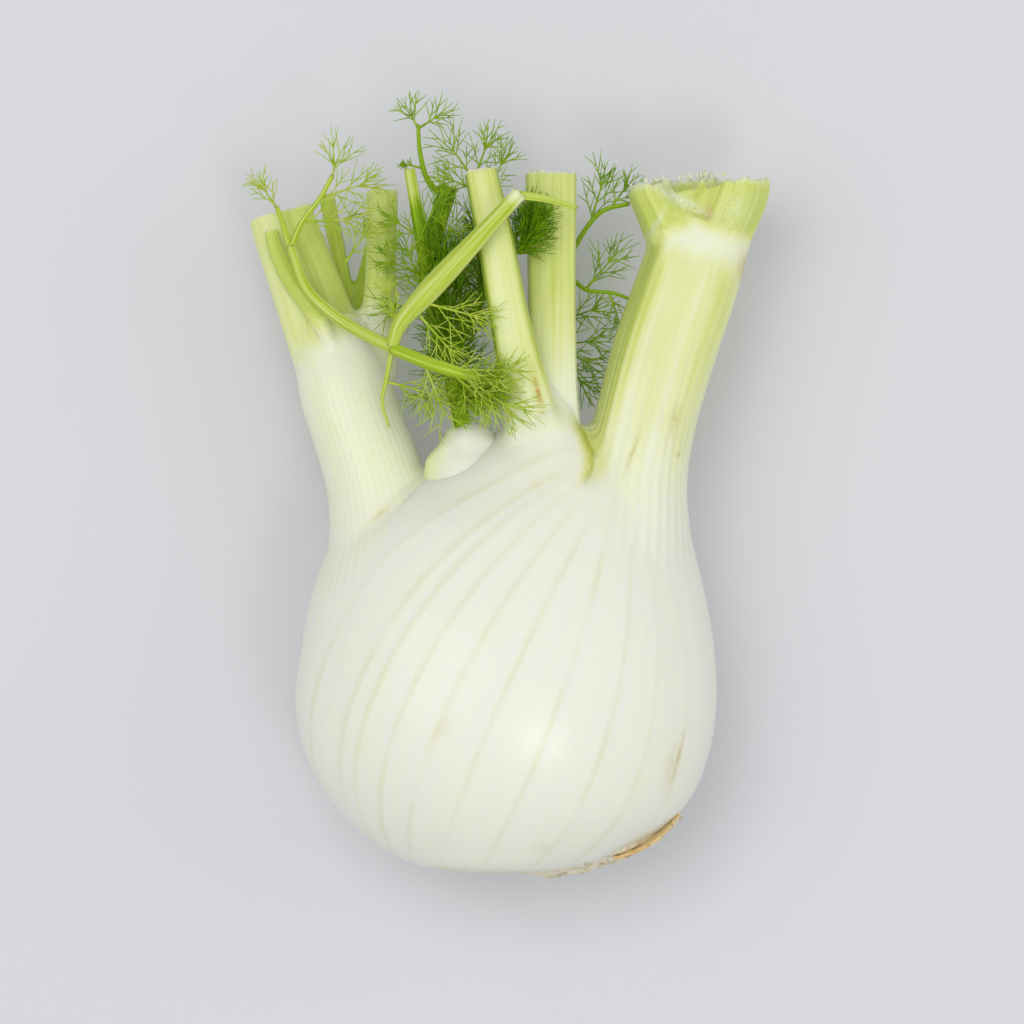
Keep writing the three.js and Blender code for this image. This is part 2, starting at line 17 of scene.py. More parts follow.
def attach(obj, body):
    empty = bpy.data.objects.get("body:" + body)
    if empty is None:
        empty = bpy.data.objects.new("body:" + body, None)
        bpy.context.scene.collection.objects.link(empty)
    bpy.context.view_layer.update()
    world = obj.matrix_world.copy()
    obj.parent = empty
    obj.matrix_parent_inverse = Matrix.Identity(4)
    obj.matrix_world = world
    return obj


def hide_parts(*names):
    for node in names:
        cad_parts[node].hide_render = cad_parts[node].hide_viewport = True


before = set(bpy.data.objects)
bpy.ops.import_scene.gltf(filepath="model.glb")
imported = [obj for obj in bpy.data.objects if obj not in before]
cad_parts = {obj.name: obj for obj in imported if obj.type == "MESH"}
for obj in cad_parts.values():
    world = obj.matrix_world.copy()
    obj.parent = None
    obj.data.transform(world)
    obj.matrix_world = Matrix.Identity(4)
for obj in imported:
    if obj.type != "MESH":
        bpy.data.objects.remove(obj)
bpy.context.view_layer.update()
MM = 0.001  # the tables are in millimetres, the scene in metres
print("solids in the frame:", ", ".join(sorted(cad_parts)))

# %% [markdown]
# Leaves have no straight lines or even curves, so everything rests on three small rules: a smooth curve
# through a few stations, a soft hill, and a soft step. They work on whole arrays of points at once, which
# keeps a mesh of a hundred thousand points quick.


# %% Smooth rules
def between(stations, share):
    """A value at share 0 to 1 along evenly spaced stations, on a smooth curve through them."""
    values = np.asarray(stations, float)
    last = len(values) - 1
    along = np.clip(share, 0, 1) * last
    i = np.minimum(along.astype(int), last - 1)
    a, b, c, d = (values[np.clip(i + k, 0, last)] for k in (-1, 0, 1, 2))
    t = (along - i)[:, None] if values.ndim > 1 else along - i
    return b + 0.5 * t * (c - a + t * (2 * a - 5 * b + 4 * c - d + t * (3 * (b - c) + d - a)))


def hill(x, width):
    """A soft hill of height 1 at x = 0."""
    return np.exp(-((x / width) ** 2))


def step(low, high, x):
    """A soft step from 0 at low to 1 at high."""
    t = np.clip((x - low) / (high - low), 0, 1)
    return t * t * (3 - 2 * t)


def random_from(seed):
    """A repeatable run of numbers from 0 to 1."""
    state = seed
    while True:
        state = (state * 1664525 + 1013904223) % 2**32
        yield state / 2**32


print("halfway along 0, 1, 0 the curve is at", round(float(between([0, 1, 0], 0.5)), 2))

# %% [markdown]
# The swollen part is a stack of ellipses. Each row below gives an ellipse's left and right edge and its
# lowest and highest point, and the rows crowd together towards both ends, where the form closes. Two poles
# fix the way that the ribs run: they fan out from the foot of the right stalk and meet again at the root.

# %% The body's form
BODY_START, BODY_END = -58, 55
BODY = [
    [-3, -3, 40, 40],
    [-21, 17, 26, 57],
    [-33, 33, 16, 64.5],
    [-42.8, 44.6, 8, 71],
    [-49.8, 50.3, 2.8, 75.5],
    [-52.7, 52.6, 0, 77.5],
    [-51.2, 52, -1, 77],
    [-48.2, 49.5, -1, 73.5],
    [-42, 46, 1.5, 68],
    [-27, 42, 8, 61],
    [-12, 30, 17, 56],
    [0, 21, 27, 51],
    [10, 10, 40, 40],
]
FAR_OUT = 9  # the level given to points past the body's ends
FARTHEST = 120.0  # no point of the body is farther than this from its middle
RIB_POLE = np.array([26.6, 39.2, 48.6])
ROOT_POLE = np.array([-11, -51.3, 29])
MIDDLE = (RIB_POLE + ROOT_POLE) / 2
POLE_WAY = (RIB_POLE - ROOT_POLE) / np.linalg.norm(RIB_POLE - ROOT_POLE)
SIDE_WAY = np.cross(POLE_WAY, [0, 0, 1])
SIDE_WAY /= np.linalg.norm(SIDE_WAY)
FACE_WAY = np.cross(SIDE_WAY, POLE_WAY)


def body_level(points, inset=0):
    """How far out points are in their section of the body: 1 on its surface, less inside."""
    share = (points[:, 1] - BODY_START) / (BODY_END - BODY_START)
    inside = (share > 0) & (share < 1)
    angle = np.arccos(1 - 2 * np.clip(share, 0, 1)) / np.pi
    left, right, low, high = between(BODY, angle).T
    half_width = np.maximum((right - left) / 2 - inset, 0.01)
    half_height = np.maximum((high - low) / 2 - inset, 0.01)
    level = np.hypot(
        (points[:, 0] - (left + right) / 2) / half_width,
        (points[:, 2] - (low + high) / 2) / half_height,
    )
    return np.where(inside, level, FAR_OUT)


def on_body(ways, inset=0):
    """The points of the body's surface that lie in these directions from its middle, by halving."""
    near, far = np.zeros(len(ways)), np.full(len(ways), FARTHEST)
    for _ in range(30):
        reach = (near + far) / 2
        within = body_level(MIDDLE + ways * reach[:, None], inset) < 1
        near, far = np.where(within, reach, near), np.where(within, far, reach)
    return MIDDLE + ways * far[:, None]


widest = max(BODY, key=lambda row: row[1] - row[0])
print("the body is", widest[1] - widest[0], "mm wide and", BODY_END - BODY_START, "mm long")

# %% [markdown]
# A mesh can be shaped in two ways: push points about one by one, or make a plain shape with an operator
# and move all its points by one rule. The second way suits grown things: a sphere becomes the body, a tube
# becomes a stalk, and the rule is the same one that made the frame's solids.


# %% Meshes and their points
def mesh_of(bm, name="piece"):
    """The mesh made in a bmesh, which is then let go."""
    mesh = bpy.data.meshes.new(name)
    bm.to_mesh(mesh)
    bm.free()
    return mesh


def points_of(mesh):
    """A mesh's points as an array with a row for each."""
    flat = np.empty(len(mesh.vertices) * 3)
    mesh.vertices.foreach_get("co", flat)
    return flat.reshape(-1, 3)


def normals_of(mesh):
    """The direction that a mesh's surface faces at each point."""
    flat = np.empty(len(mesh.vertices) * 3)
    mesh.vertex_normals.foreach_get("vector", flat)
    return flat.reshape(-1, 3)


def move_points(mesh, points):
    """Puts a mesh's points at new places."""
    mesh.vertices.foreach_set("co", points.ravel())
    mesh.update()
    return mesh


def outward(mesh):
    """The same mesh with its faces turned to look outwards."""
    bm = bmesh.new()
    bm.from_mesh(mesh)
    bmesh.ops.recalc_face_normals(bm, faces=bm.faces)
    bm.to_mesh(mesh)
    bm.free()
    return mesh


def body_mesh(inset=0):
    """The body as a sphere whose points are moved out or in to its surface."""
    bm = bmesh.new()
    bmesh.ops.create_uvsphere(bm, u_segments=120, v_segments=80, radius=1)
    mesh = mesh_of(bm)
    ball = points_of(mesh)
    ball /= np.linalg.norm(ball, axis=1)[:, None]
    ways = ball @ np.array([SIDE_WAY, FACE_WAY, POLE_WAY])
    return move_points(mesh, on_body(ways, inset))


ahead_reach = on_body(np.array([POLE_WAY, -POLE_WAY])) - MIDDLE
print("along the fibres' axis it is", round(np.linalg.norm(ahead_reach, axis=1).sum()), "mm long")

# %% [markdown]
# A stalk is a loft: an outline that changes along a bent centreline. The centreline is a curve through a
# few points, and the outline is an oval whose radius a rule may change with the angle, to give it ridges,
# an edge or a channel. Both can be asked either way round: where is this share and angle, and what share
# and angle is this point at?


# %% Stalks
def smooth_line(path, steps=24):
    """Even steps along a smooth curve through points that need not be evenly spaced."""
    points = np.array(path, float)
    points = np.vstack([2 * points[0] - points[1], points, 2 * points[-1] - points[-2]])
    t = np.linspace(0, 1, steps)[:, None]
    parts = []
    for a, b, c, d in zip(points, points[1:], points[2:], points[3:]):
        ab, bc, cd = (np.linalg.norm(q - p) ** 0.5 for p, q in ((a, b), (b, c), (c, d)))
        start = bc * ((b - a) / ab - (c - a) / (ab + bc) + (c - b) / bc)
        end = bc * ((c - b) / bc - (d - b) / (bc + cd) + (d - c) / cd)
        ends = -3 * b + 3 * c - 2 * start - end
        parts.append(b + start * t + ends * t**2 + (2 * b - 2 * c + start + end) * t**3)
    line = np.vstack(parts)
    gaps = np.linalg.norm(np.diff(line, axis=0), axis=1)
    keep = np.append(True, gaps > 1e-6)
    line, run = line[keep], np.append(0, np.cumsum(gaps[gaps > 1e-6]))
    even = np.linspace(0, run[-1], 8 * steps)
    return np.array([np.interp(even, run, line[:, k]) for k in range(3)]).T


def unit(vectors):
    """The same directions, each of length 1."""
    return vectors / np.linalg.norm(vectors, axis=-1, keepdims=True)


class Stalk:
    """A loft along a curve. Angle 0 is right and a quarter turn is up; share runs from foot to tip."""

    def __init__(self, path, half_width, half_height, section=None):
        self.line = smooth_line(path)
        self.along = unit(np.gradient(self.line, axis=0))
        self.side = unit(np.cross(self.along, [0, 0, 1]))
        self.rise = np.cross(self.side, self.along)
        self.length = np.linalg.norm(np.diff(self.line, axis=0), axis=1).sum()
        self.half_width, self.half_height = half_width, half_height
        self.section = section or (lambda angle, share: 1)

    def at(self, share, angle, radius=1, grow=0, past=0):
        """Points at a share of the length and a share of the radius, past the tip by some millimetres."""
        where = np.clip(share, 0, 1) * (len(self.line) - 1)
        low = np.minimum(where.astype(int), len(self.line) - 2)
        t = (where - low)[:, None]
        middle, along, side, rise = (
            rows[low] * (1 - t) + rows[low + 1] * t
            for rows in (self.line, self.along, self.side, self.rise)
        )
        reach = radius * self.section(angle, share)
        wide = between(self.half_width, share) * reach + radius * grow
        high = between(self.half_height, share) * reach + radius * grow
        out = side * (wide * np.cos(angle))[:, None] + rise * (high * np.sin(angle))[:, None]
        return middle + out + along * (np.zeros(len(share)) + past)[:, None]

    def locate(self, points):
        """Where points are on the stalk: their share, angle and how far out, with 1 on its surface."""
        apart = (self.line**2).sum(1) - 2 * points @ self.line.T
        i = apart.argmin(1)
        ahead = ((points - self.line[i]) * self.along[i]).sum(1)
        out = points - self.line[i] - self.along[i] * ahead[:, None]
        share = i / (len(self.line) - 1) + ahead / self.length
        x = (out * self.side[i]).sum(1) / between(self.half_width, share)
        y = (out * self.rise[i]).sum(1) / between(self.half_height, share)
        return share, np.arctan2(y, x), np.hypot(x, y)

    def girth(self, share):
        """About how far it is round the stalk, in millimetres."""
        return np.pi * (between(self.half_width, share) + between(self.half_height, share))


# %% [markdown]
# The stalk's mesh starts as a line: up the middle of the foot, along the wall and back to the middle of the
# tip. The spin operator turns that line about an axis, its doubled points are merged, and the loft's rule
# moves every point from the plain tube to its place on the stalk. A spin leaves its edges and faces in a
# new order each time the script is run, so they are sorted at once. Otherwise a thread that only just
# touches a leaf would be kept in one run and left out in the next.


# %% Tubes
def in_order(bm):
    """Sorts the edges and faces by the numbers of their corners."""
    bm.verts.index_update()
    count = len(bm.verts)

    def rank(element):
        numbers = sorted(corner.index for corner in element.verts)
        return sum(number / count**k for k, number in enumerate(numbers))

    bm.edges.sort(key=rank)
    bm.faces.sort(key=rank)


def spun(outline, axis, sides):
    """A line turned once about an axis through the origin."""
    bm = bmesh.new()
    corners = [bm.verts.new(point) for point in outline]
    edges = [bm.edges.new(pair) for pair in zip(corners, corners[1:])]
    bmesh.ops.spin(
        bm, geom=corners + edges, cent=(0, 0, 0), axis=axis, angle=math.tau, steps=sides, use_merge=True
    )
    in_order(bm)
    bmesh.ops.remove_doubles(bm, verts=bm.verts, dist=1e-5)
    return bm


def tube_mesh(stalk, sides, rings, grow=0, tip=None, caps=(0, 0.35, 0.6, 0.8, 0.92)):
    """A stalk's closed mesh. tip gives how far past its end each point of the cut end stands."""
    wall = [(1, k / rings) for k in range(rings + 1)]
    outline = [(r, 0) for r in caps] + wall + [(r, 1) for r in caps[::-1]]
    mesh = mesh_of(spun([(radius, 0, share) for radius, share in outline], (0, 0, 1), sides))
    x, y, share = points_of(mesh).T
    radius, angle = np.hypot(x, y), np.arctan2(y, x)
    past = np.where(share > 1 - 1e-6, tip(angle, radius), 0) if tip else 0
    move_points(mesh, stalk.at(share, angle, radius, grow, past))
    return outward(mesh)


def ridged(count, depth):
    """A round outline with ridges along the stalk, which grow out of its smooth foot."""
    return lambda angle, share: 1 - depth * (0.5 + 0.5 * np.cos(angle * count)) * np.minimum(1, 3 * share)


# %% [markdown]
# A cut across a real stalk is never a plain oval. The right one has a sharp edge with a flat face beside
# it, the narrow one is folded in three, and the broad one is a ribbon. Each gets a small rule for its
# outline, and tables for its centreline and its half-width and half-height from foot to tip.


# %% The stalks' numbers
def right_section(angle, share):
    """One sharp edge, and a flat, slightly hollow inner face beside it."""
    return 1 + 0.09 * hill(angle - 2.2, 0.22) - 0.08 * hill(abs(angle) - 2.9, 0.5)


def narrow_section(angle, share):
    """Three facets on the upper side, with soft edges between them."""
    facets = 0.07 * hill(angle - 0.75, 0.28) + 0.06 * hill(angle - 2.35, 0.28)
    return 0.97 + facets + 0.003 * np.cos(19 * angle)


def broad_section(angle, share):
    """A flat ribbon with square shoulders and one rib on its upper right."""
    shoulders = hill(angle - 0.62, 0.25) + hill(angle - 2.5, 0.25)
    return 0.97 + 0.09 * shoulders + 0.035 * hill(angle - 1.05, 0.12) + 0.004 * np.cos(23 * angle)


RIGHT_STALK = Stalk(
    [[25, 4, 37], [29.5, 25, 38], [32.4, 46, 38.5], [38.4, 70, 39], [45.2, 90, 38], [49.5, 104, 37]],
    [20, 18, 14.2, 13.1, 13.3, 13.2, 12.6],
    [24, 23, 18, 14, 11.8, 11, 10.5],
    right_section,
)
LEFT_STALK = Stalk(
    [[-24, -8, 37], [-27.5, 12, 37], [-32.2, 38, 36.5], [-39.4, 60, 35.5], [-43.3, 74, 34.5], [-45, 80, 34]],
    [18, 19, 15.6, 12.9, 11.9, 11.6, 9],
    [20, 20.5, 18, 14, 12, 10.5, 7],
)
NARROW_STALK = Stalk(
    [[9, 38, 46], [6.5, 54, 50.5], [3.8, 66, 53.5], [0, 84, 55], [-2.4, 98, 54], [-6.2, 116, 50.5]],
    [8, 7.4, 6.2, 5.2, 4.8, 4.6, 4.3],
    [6, 5.5, 5, 4.4, 4.1, 4, 3.9],
    narrow_section,
)
BROAD_STALK = Stalk(
    [
        [12, 34, 40], [11.8, 50, 44], [11.6, 62, 44.3], [11.5, 74, 42.6],
        [11.4, 86, 40.8], [11.3, 100, 39.5], [11.2, 116.5, 38],
    ],
    [8.6, 7.6, 6.5, 6.2, 6.2, 6.4, 6.6],
    [5.5, 5, 4.5, 4.3, 4.2, 4.2, 4.2],
    broad_section,
)
COLLAR = Stalk(
    [[8, 32, 42], [9.3, 46, 45], [7.4, 57, 46], [5.4, 68, 46]], [18, 13.2, 8.4, 3], [21, 14.1, 7.6, 1.5]
)
HEART = Stalk(
    [[-3, 16, 42], [-7, 32, 43], [-8.6, 44, 44], [-8.8, 49, 44.5], [-8.8, 52, 44.5]],
    [9, 12.5, 13.8, 13.6, 11.2, 6],
    [8, 11, 12, 11.4, 9.2, 5],
)
print("right stalk", round(RIGHT_STALK.length), "mm long, left stalk", round(LEFT_STALK.length), "mm")

# %% [markdown]
# The real leaf flows from bulb to stalk without a crease. Joining two lofts with a boolean leaves a sharp
# line where they meet, so the parts are put into one mesh, remeshed as a whole in small even cells, and
# smoothed just along the meeting line until it is a soft hollow. Only cuts are made with a boolean.

# %% Fusing, softening and cutting
CELL = 0.8  # of the even mesh, in millimetres


def as_object(mesh, name):
    """A mesh as an object of the scene."""
    piece = bpy.data.objects.new(name, mesh)
    bpy.context.scene.collection.objects.link(piece)
    return piece


def settle(piece):
    """Applies a piece's modifiers to its mesh."""
    graph = bpy.context.evaluated_depsgraph_get()
    made = bpy.data.meshes.new_from_object(piece.evaluated_get(graph))
    was = piece.data
    piece.modifiers.clear()
    piece.data = made
    bpy.data.meshes.remove(was)
    return piece


def joined(meshes, name="piece"):
    """One mesh of several, each kept as it is."""
    bm = bmesh.new()
    for mesh in meshes:
        bm.from_mesh(mesh)
        bpy.data.meshes.remove(mesh)
    return mesh_of(bm, name)


def fuse(piece, cell=CELL):
    """Remeshes a piece in even cells, which dissolves whatever lies inside it."""
    remesh = piece.modifiers.new("fuse", "REMESH")
    remesh.mode = "VOXEL"
    remesh.voxel_size = cell
    return settle(piece)


def soften(piece, rounds, weights=None):
    """Smooths a piece, everywhere or where the weights say."""
    smooth = piece.modifiers.new("soften", "SMOOTH")
    smooth.factor = 0.5
    smooth.iterations = rounds
    if weights is not None:
        group = piece.vertex_groups.new(name="soft")
        for i in np.nonzero(weights > 0.02)[0].tolist():
            group.add([i], float(weights[i]), "REPLACE")
        smooth.vertex_group = group.name
    settle(piece)
    piece.vertex_groups.clear()
    return piece


def cut(piece, tool_mesh, keep="DIFFERENCE"):
    """Cuts a closed mesh from a piece, or keeps only what they share."""
    tool = as_object(tool_mesh, "tool")
    boolean = piece.modifiers.new("cut", "BOOLEAN")
    boolean.object, boolean.operation, boolean.solver = tool, keep, "MANIFOLD"
    settle(piece)
    bpy.data.objects.remove(tool)
    return piece


print("cells of", CELL, "mm across a stalk", 2 * RIGHT_STALK.half_width[-1], "mm thick")

# %% [markdown]
# The outer leaf wraps the bulb, and its thin edge laps over the leaf beneath along a slanting seam on the
# left. The seam is a curve drawn from above and extruded into a slab, whose sides lean so that nobody can
# look down between the two leaves.

# %% The seam
SEAM = [
    [-12, 60], [-16, 44], [-21, 34], [-28, 24], [-34, 11],
    [-37, -5], [-36.5, -22], [-31, -39], [-21, -54], [-12, -62],
]  # fmt: skip
SEAM_HEIGHT, SEAM_SLANT = 38, 0.35
GAP = 0.3
seam_line = between(SEAM, np.linspace(0, 1, 90))


def left_of_seam(shift):
    """A slab that holds everything to the left of the seam."""
    bm = bmesh.new()
    edge = seam_line + [shift, 0]
    outline = [*edge.tolist(), [-110, -70], [-110, 140], [SEAM[0][0] + shift, 140]]
    face = bm.faces.new([bm.verts.new((x, y, -10)) for x, y in outline])
    top = bmesh.ops.extrude_face_region(bm, geom=[face])
    raised = [v for v in top["geom"] if isinstance(v, bmesh.types.BMVert)]
    bmesh.ops.translate(bm, verts=raised, vec=(0, 0, 100))
    for v in bm.verts:
        v.co.x += SEAM_SLANT * (SEAM_HEIGHT - v.co.z)
    bmesh.ops.triangulate(bm, faces=bm.faces)
    return outward(mesh_of(bm))


def right_of_seam(points):
    """How far points lie to the right of the seam, in millimetres."""
    x, y, z = points.T
    upward = seam_line[::-1]
    return x - np.interp(y, upward[:, 1], upward[:, 0]) - SEAM_SLANT * (SEAM_HEIGHT - z)


print("the seam is", round(np.linalg.norm(np.diff(seam_line, axis=0), axis=1).sum()), "mm long")

# %% [markdown]
# The right stalk is cut short just above its joint. Three stumps of its branches are left, and they tore as
# they were cut: their rims stand up unevenly and their ends are hollow. The unevenness is a sum of a few
# waves round the rim, whose places are drawn from a seeded run of numbers.

# %% The torn stumps
RIGHT_STUMPS = [
    ([[43, 97, 38], [39.5, 105, 39], [36, 111.5, 40], [35.2, 114.5, 40]], [7, 6.3, 5.2], [9, 8.5, 7.5]),
    ([[46.5, 96, 38], [45.8, 105, 37.5], [44.6, 112, 37], [44, 116, 37]], [8, 8.2, 8.6], [8.5, 8, 7.5]),
    ([[50.5, 96, 37], [54, 106, 37.5], [56.3, 112, 38], [56.7, 116, 38]], [9.2, 9.6, 9.9], [9.5, 9.5, 9.5]),
]
# For each stump: how hollow and how torn it is, and where its rim is broken away.
STUMP_TEARS = [
    (3, 0.9, [(1.2, 0.4, 1.5)]),
    (5, 1.0, [(1.7, 0.9, 4.5), (0.8, 0.35, 1.5)]),
    (5, 0.9, [(2.3, 0.6, 4.5)]),
]
stumps = [Stalk(*numbers, ridged(9, 0.06)) for numbers in RIGHT_STUMPS]


def torn_end(seed, hollow, tear, notches=()):
    """A cut end, hollow in the middle, uneven along its rim. Notches are an angle, a width and a depth."""
    draws = random_from(seed)
    first, second = next(draws) * 6, next(draws) * 6
    fine = [(n, next(draws) * 6) for n in (13, 21, 34)]

    def past(angle, radius):
        broad = 0.6 * np.sin(3 * angle + first) + 0.4 * np.sin(7 * angle + second)
        small = sum(0.22 * np.sin(n * angle + turn) for n, turn in fine)
        rim = step(0.55, 0.95, radius)
        missing = sum(
            depth * hill(np.angle(np.exp(1j * (angle - middle))), width) for middle, width, depth in notches
        )
        return (tear * (broad + small) - missing) * rim - hollow * (1 - rim)

    return past


def right_crown():
    """The stumps' meshes."""
    tips = [torn_end(i + 5, *tears) for i, tears in enumerate(STUMP_TEARS)]
    return [tube_mesh(stump, 72, 24, tip=tip) for stump, tip in zip(stumps, tips)]


print("stumps:", ", ".join(f"{stump.length:.0f} mm" for stump in stumps))

# %% [markdown]
# Where the middle stalks come out, the outer leaf is drawn up round them in a thin collar. A copy of each
# stalk's foot, a little thicker than the stalk at the bottom and thinner than it at the top, makes the
# collar run out to nothing on the stalk instead of ending in a step.

# %% The outer leaf's form
SLEEVE_TOP = 0.34  # share of a middle stalk that its sleeve covers
SLEEVE_THICK = 0.9
SHEATH_THICK = 0.45  # of the skin that the outer leaf has round the left stalk's foot


def sleeve(stalk):
    """The foot of a stalk, with a skin that thins to nothing and dips under the stalk's own surface."""
    mesh = tube_mesh(stalk, 64, 60, caps=(0, 0.5))
    share, angle, out = stalk.locate(points_of(mesh))
    grow = SLEEVE_THICK - (SLEEVE_THICK + 0.5) * step(0.12, SLEEVE_TOP, share)
    return move_points(mesh, stalk.at(share, angle, out, grow))


def near_both(points, level_a, level_b, reach):
    """1 where points lie on two surfaces at once, fading over a reach given in levels."""
    return hill(level_a - 1, reach) * hill(level_b - 1, reach)


def outer_leaf_form():
    """The outer leaf as one smooth body."""
    sheath = tube_mesh(LEFT_STALK, 80, 60, grow=SHEATH_THICK)
    parts = [body_mesh(), tube_mesh(COLLAR, 80, 44), tube_mesh(RIGHT_STALK, 96, 70), sheath]
    parts += [sleeve(NARROW_STALK), sleeve(BROAD_STALK), *right_crown()]
    piece = fuse(as_object(joined(parts), "outer_leaf_skin"))
    points = points_of(piece.data)
    body = body_level(points)
    levels = [s.locate(points)[2] for s in (RIGHT_STALK, LEFT_STALK, COLLAR, NARROW_STALK, BROAD_STALK)]
    right, left, collar, narrow, broad = levels
    meets = [near_both(points, body, other, 0.22) for other in (right, left, collar)]
    meets += [near_both(points, collar, other, 0.3) for other in (narrow, broad)]
    crease = near_both(points, collar, right, 0.2) * step(36, 42, points[:, 1])
    return soften(piece, 50, np.clip(np.max(meets, 0), 0, 1) * (1 - crease))


outer_leaf = outer_leaf_form()
print("outer leaf before its seam is cut:", len(outer_leaf.data.polygons), "faces")

# %% [markdown]
# With its fillets made, the leaf is cut along the seam and remeshed once more, which rounds the cut edge as
# a living edge is. The flat spot that the bulb rests on is made by lifting every point that is under the
# floor up to it.


# %% Cutting the outer leaf
def trimmed(piece, rounds=3):
    """A cut piece with even cells again, soft edges and a flat resting spot."""
    soften(fuse(piece), rounds)
    points = points_of(piece.data)
    points[:, 2] = np.maximum(points[:, 2], 0)
    move_points(piece.data, points)
    return piece


outer_leaf = trimmed(cut(outer_leaf, left_of_seam(GAP)))
print("outer leaf:", len(outer_leaf.data.polygons), "faces")

# %% [markdown]
# The left leaf's stalk parts at a joint into a broad blade with an open channel, an upright branch, two
# thin ones behind them and a slim shoot that grew along the blade. Each was cut across with a knife: nearly
# flat, a little ragged, and sunk in the middle as it dried.


# %% The left leaf's branches
def blade_section(angle, share):
    """A gutter: hollow on the side that faces up and to the right."""
    return 1 - 0.32 * hill(angle - 1.2, 0.75)


def cut_tip(seed, rise=0.5, hollow=0.5):
    """A knife's cut across a stalk."""
    return torn_end(seed, hollow, rise)


BLADE = Stalk(
    [[-42, 66, 34], [-49.5, 87, 33], [-55.8, 104, 32.2], [-56.8, 107.5, 32]],
    [10, 9.2, 8.2],
    [8, 6.2, 5.4],
    blade_section,
)
UPRIGHT = Stalk(
    [[-33.5, 66, 33], [-31.5, 88, 34], [-31, 113, 33]], [6.5, 4.2, 4.1], [6, 4, 3.8], ridged(7, 0.07)
)
BACK_BRANCHES = [
    Stalk([[-38, 70, 29], [-41.5, 92, 25], [-45.5, 112, 22]], [3, 2.2, 2.1], [3, 2.2, 2.1]),
    Stalk([[-35, 66, 29], [-37, 84, 25], [-33.5, 101, 22]], [3, 2.1, 1.9], [3, 2.1, 1.9]),
]
SHOOT = Stalk(
    [
        [-39, 65, 39], [-43.5, 74, 42.2], [-48, 82, 44.1],
        [-53.5, 89.5, 43.5], [-57.5, 98, 42], [-58.5, 102.5, 41.5],
    ],
    [0.9, 1.5, 2.4, 2.5, 2.2, 1.9],
    [1, 1.8, 2.4, 2.3, 2, 1.8],
)
LEFT_BRANCHES = [BLADE, UPRIGHT, *BACK_BRANCHES, SHOOT]
print("branches:", ", ".join(f"{branch.length:.0f} mm" for branch in LEFT_BRANCHES))

# %% [markdown]
# The left leaf's base shows along the left side, hardly lower than the edge that laps over it, and runs on
# under that edge. Once it is well under, it sinks, so that the two skins don't fight for the same place.

# %% The left leaf's form
LEFT_CELL = 0.65
UNDERLAP = 9.5  # how far the left leaf runs on under the outer leaf's edge
MARGIN_STEP = 0.08  # how far its surface lies under the outer leaf's, at the seam
UNDER_EDGE = 0.8  # how far it sinks once it is under that edge


def left_leaf_form():
    """The left leaf as one smooth body."""
    flank = cut(as_object(body_mesh(MARGIN_STEP), "flank"), left_of_seam(UNDERLAP), "INTERSECT")
    branches = [tube_mesh(s, 48, 50, tip=cut_tip(i + 40)) for i, s in enumerate(LEFT_BRANCHES)]
    parts = [flank.data.copy(), tube_mesh(LEFT_STALK, 96, 70), *branches]
    piece = fuse(as_object(joined(parts), "left_leaf_skin"), LEFT_CELL)
    bpy.data.objects.remove(flank)
    points = points_of(piece.data)
    stalk = LEFT_STALK.locate(points)[2]
    meets = [near_both(points, body_level(points, MARGIN_STEP), stalk, 0.22)]
    meets += [near_both(points, stalk, s.locate(points)[2], 0.3) for s in LEFT_BRANCHES]
    soften(piece, 30, np.clip(np.max(meets, 0), 0, 1))
    soften(piece, 2)
    points = points_of(piece.data)
    sunk = UNDER_EDGE * step(6, 9, right_of_seam(points)) * hill(body_level(points) - 1, 0.1)
    move_points(piece.data, points - normals_of(piece.data) * sunk[:, None])
    return piece


left_leaf = left_leaf_form()
print("left leaf:", len(left_leaf.data.polygons), "faces")

# %% [markdown]
# The two middle leaves show only as cut stalks. One is narrow, with three facets like a folded ribbon, and
# stands in front; the other is broad and nearly flat, with square shoulders. Both are tubes of many sides,
# so that the facets of their outlines stay crisp. The heart leaf is a short tube with a domed end.


# %% The middle leaves' form
def middle_leaf(stalk, name, seed):
    """A middle leaf: a cut stalk whose foot is hidden in the collar."""
    return as_object(tube_mesh(stalk, 144, 150, tip=cut_tip(seed, 0.45, 0.9)), name)


def puffy_tip(angle, radius):
    """The heart leaf's tip: domed and a little lumpy."""
    return 3 * (1 - radius**2) + 0.2 * np.sin(3 * angle + 5 * radius)


narrow_leaf = middle_leaf(NARROW_STALK, "narrow_leaf_skin", 61)
broad_leaf = middle_leaf(BROAD_STALK, "broad_leaf_skin", 62)
heart_caps = (0, 0.15, 0.3, 0.45, 0.6, 0.75, 0.88)
heart_leaf = as_object(tube_mesh(HEART, 120, 90, tip=puffy_tip, caps=heart_caps), "heart_leaf_skin")
print("middle leaves:", len(narrow_leaf.data.polygons), "and", len(broad_leaf.data.polygons), "faces")

# %% [markdown]
# Every piece needs to know which way its fibres run: from the right stalk's foot down to the root on the
# body, and along each stalk. That is kept at the mesh's points as a small vector: the cosine and sine of
# the angle round the fibres' axis, and how far along. A pattern made from it has no seam, and it follows
# the leaf wherever it bends.


# %% Which way the fibres run
def body_fibres(points):
    """The angle round the line between the two poles, how far along it, and how far out from it."""
    away = points - MIDDLE
    side, face, ahead = away @ SIDE_WAY, away @ FACE_WAY, away @ POLE_WAY
    return np.arctan2(face, side), ahead, np.hypot(side, face)


def fibre_vector(angle, ahead, finer=1):
    """The vector that patterns along the fibres are made from."""
    return np.stack([finer * np.cos(angle), finer * np.sin(angle), ahead], axis=1)


def keep(mesh, **numbers):
    """Stores numbers or vectors at the points of a mesh, each under its name, for a material to read."""
    for name, values in numbers.items():
        kind, slot = ("FLOAT_VECTOR", "vector") if np.ndim(values) > 1 else ("FLOAT", "value")
        kept = mesh.attributes.new(name, kind, "POINT")
        kept.data.foreach_set(slot, np.ravel(values).astype(np.float32))


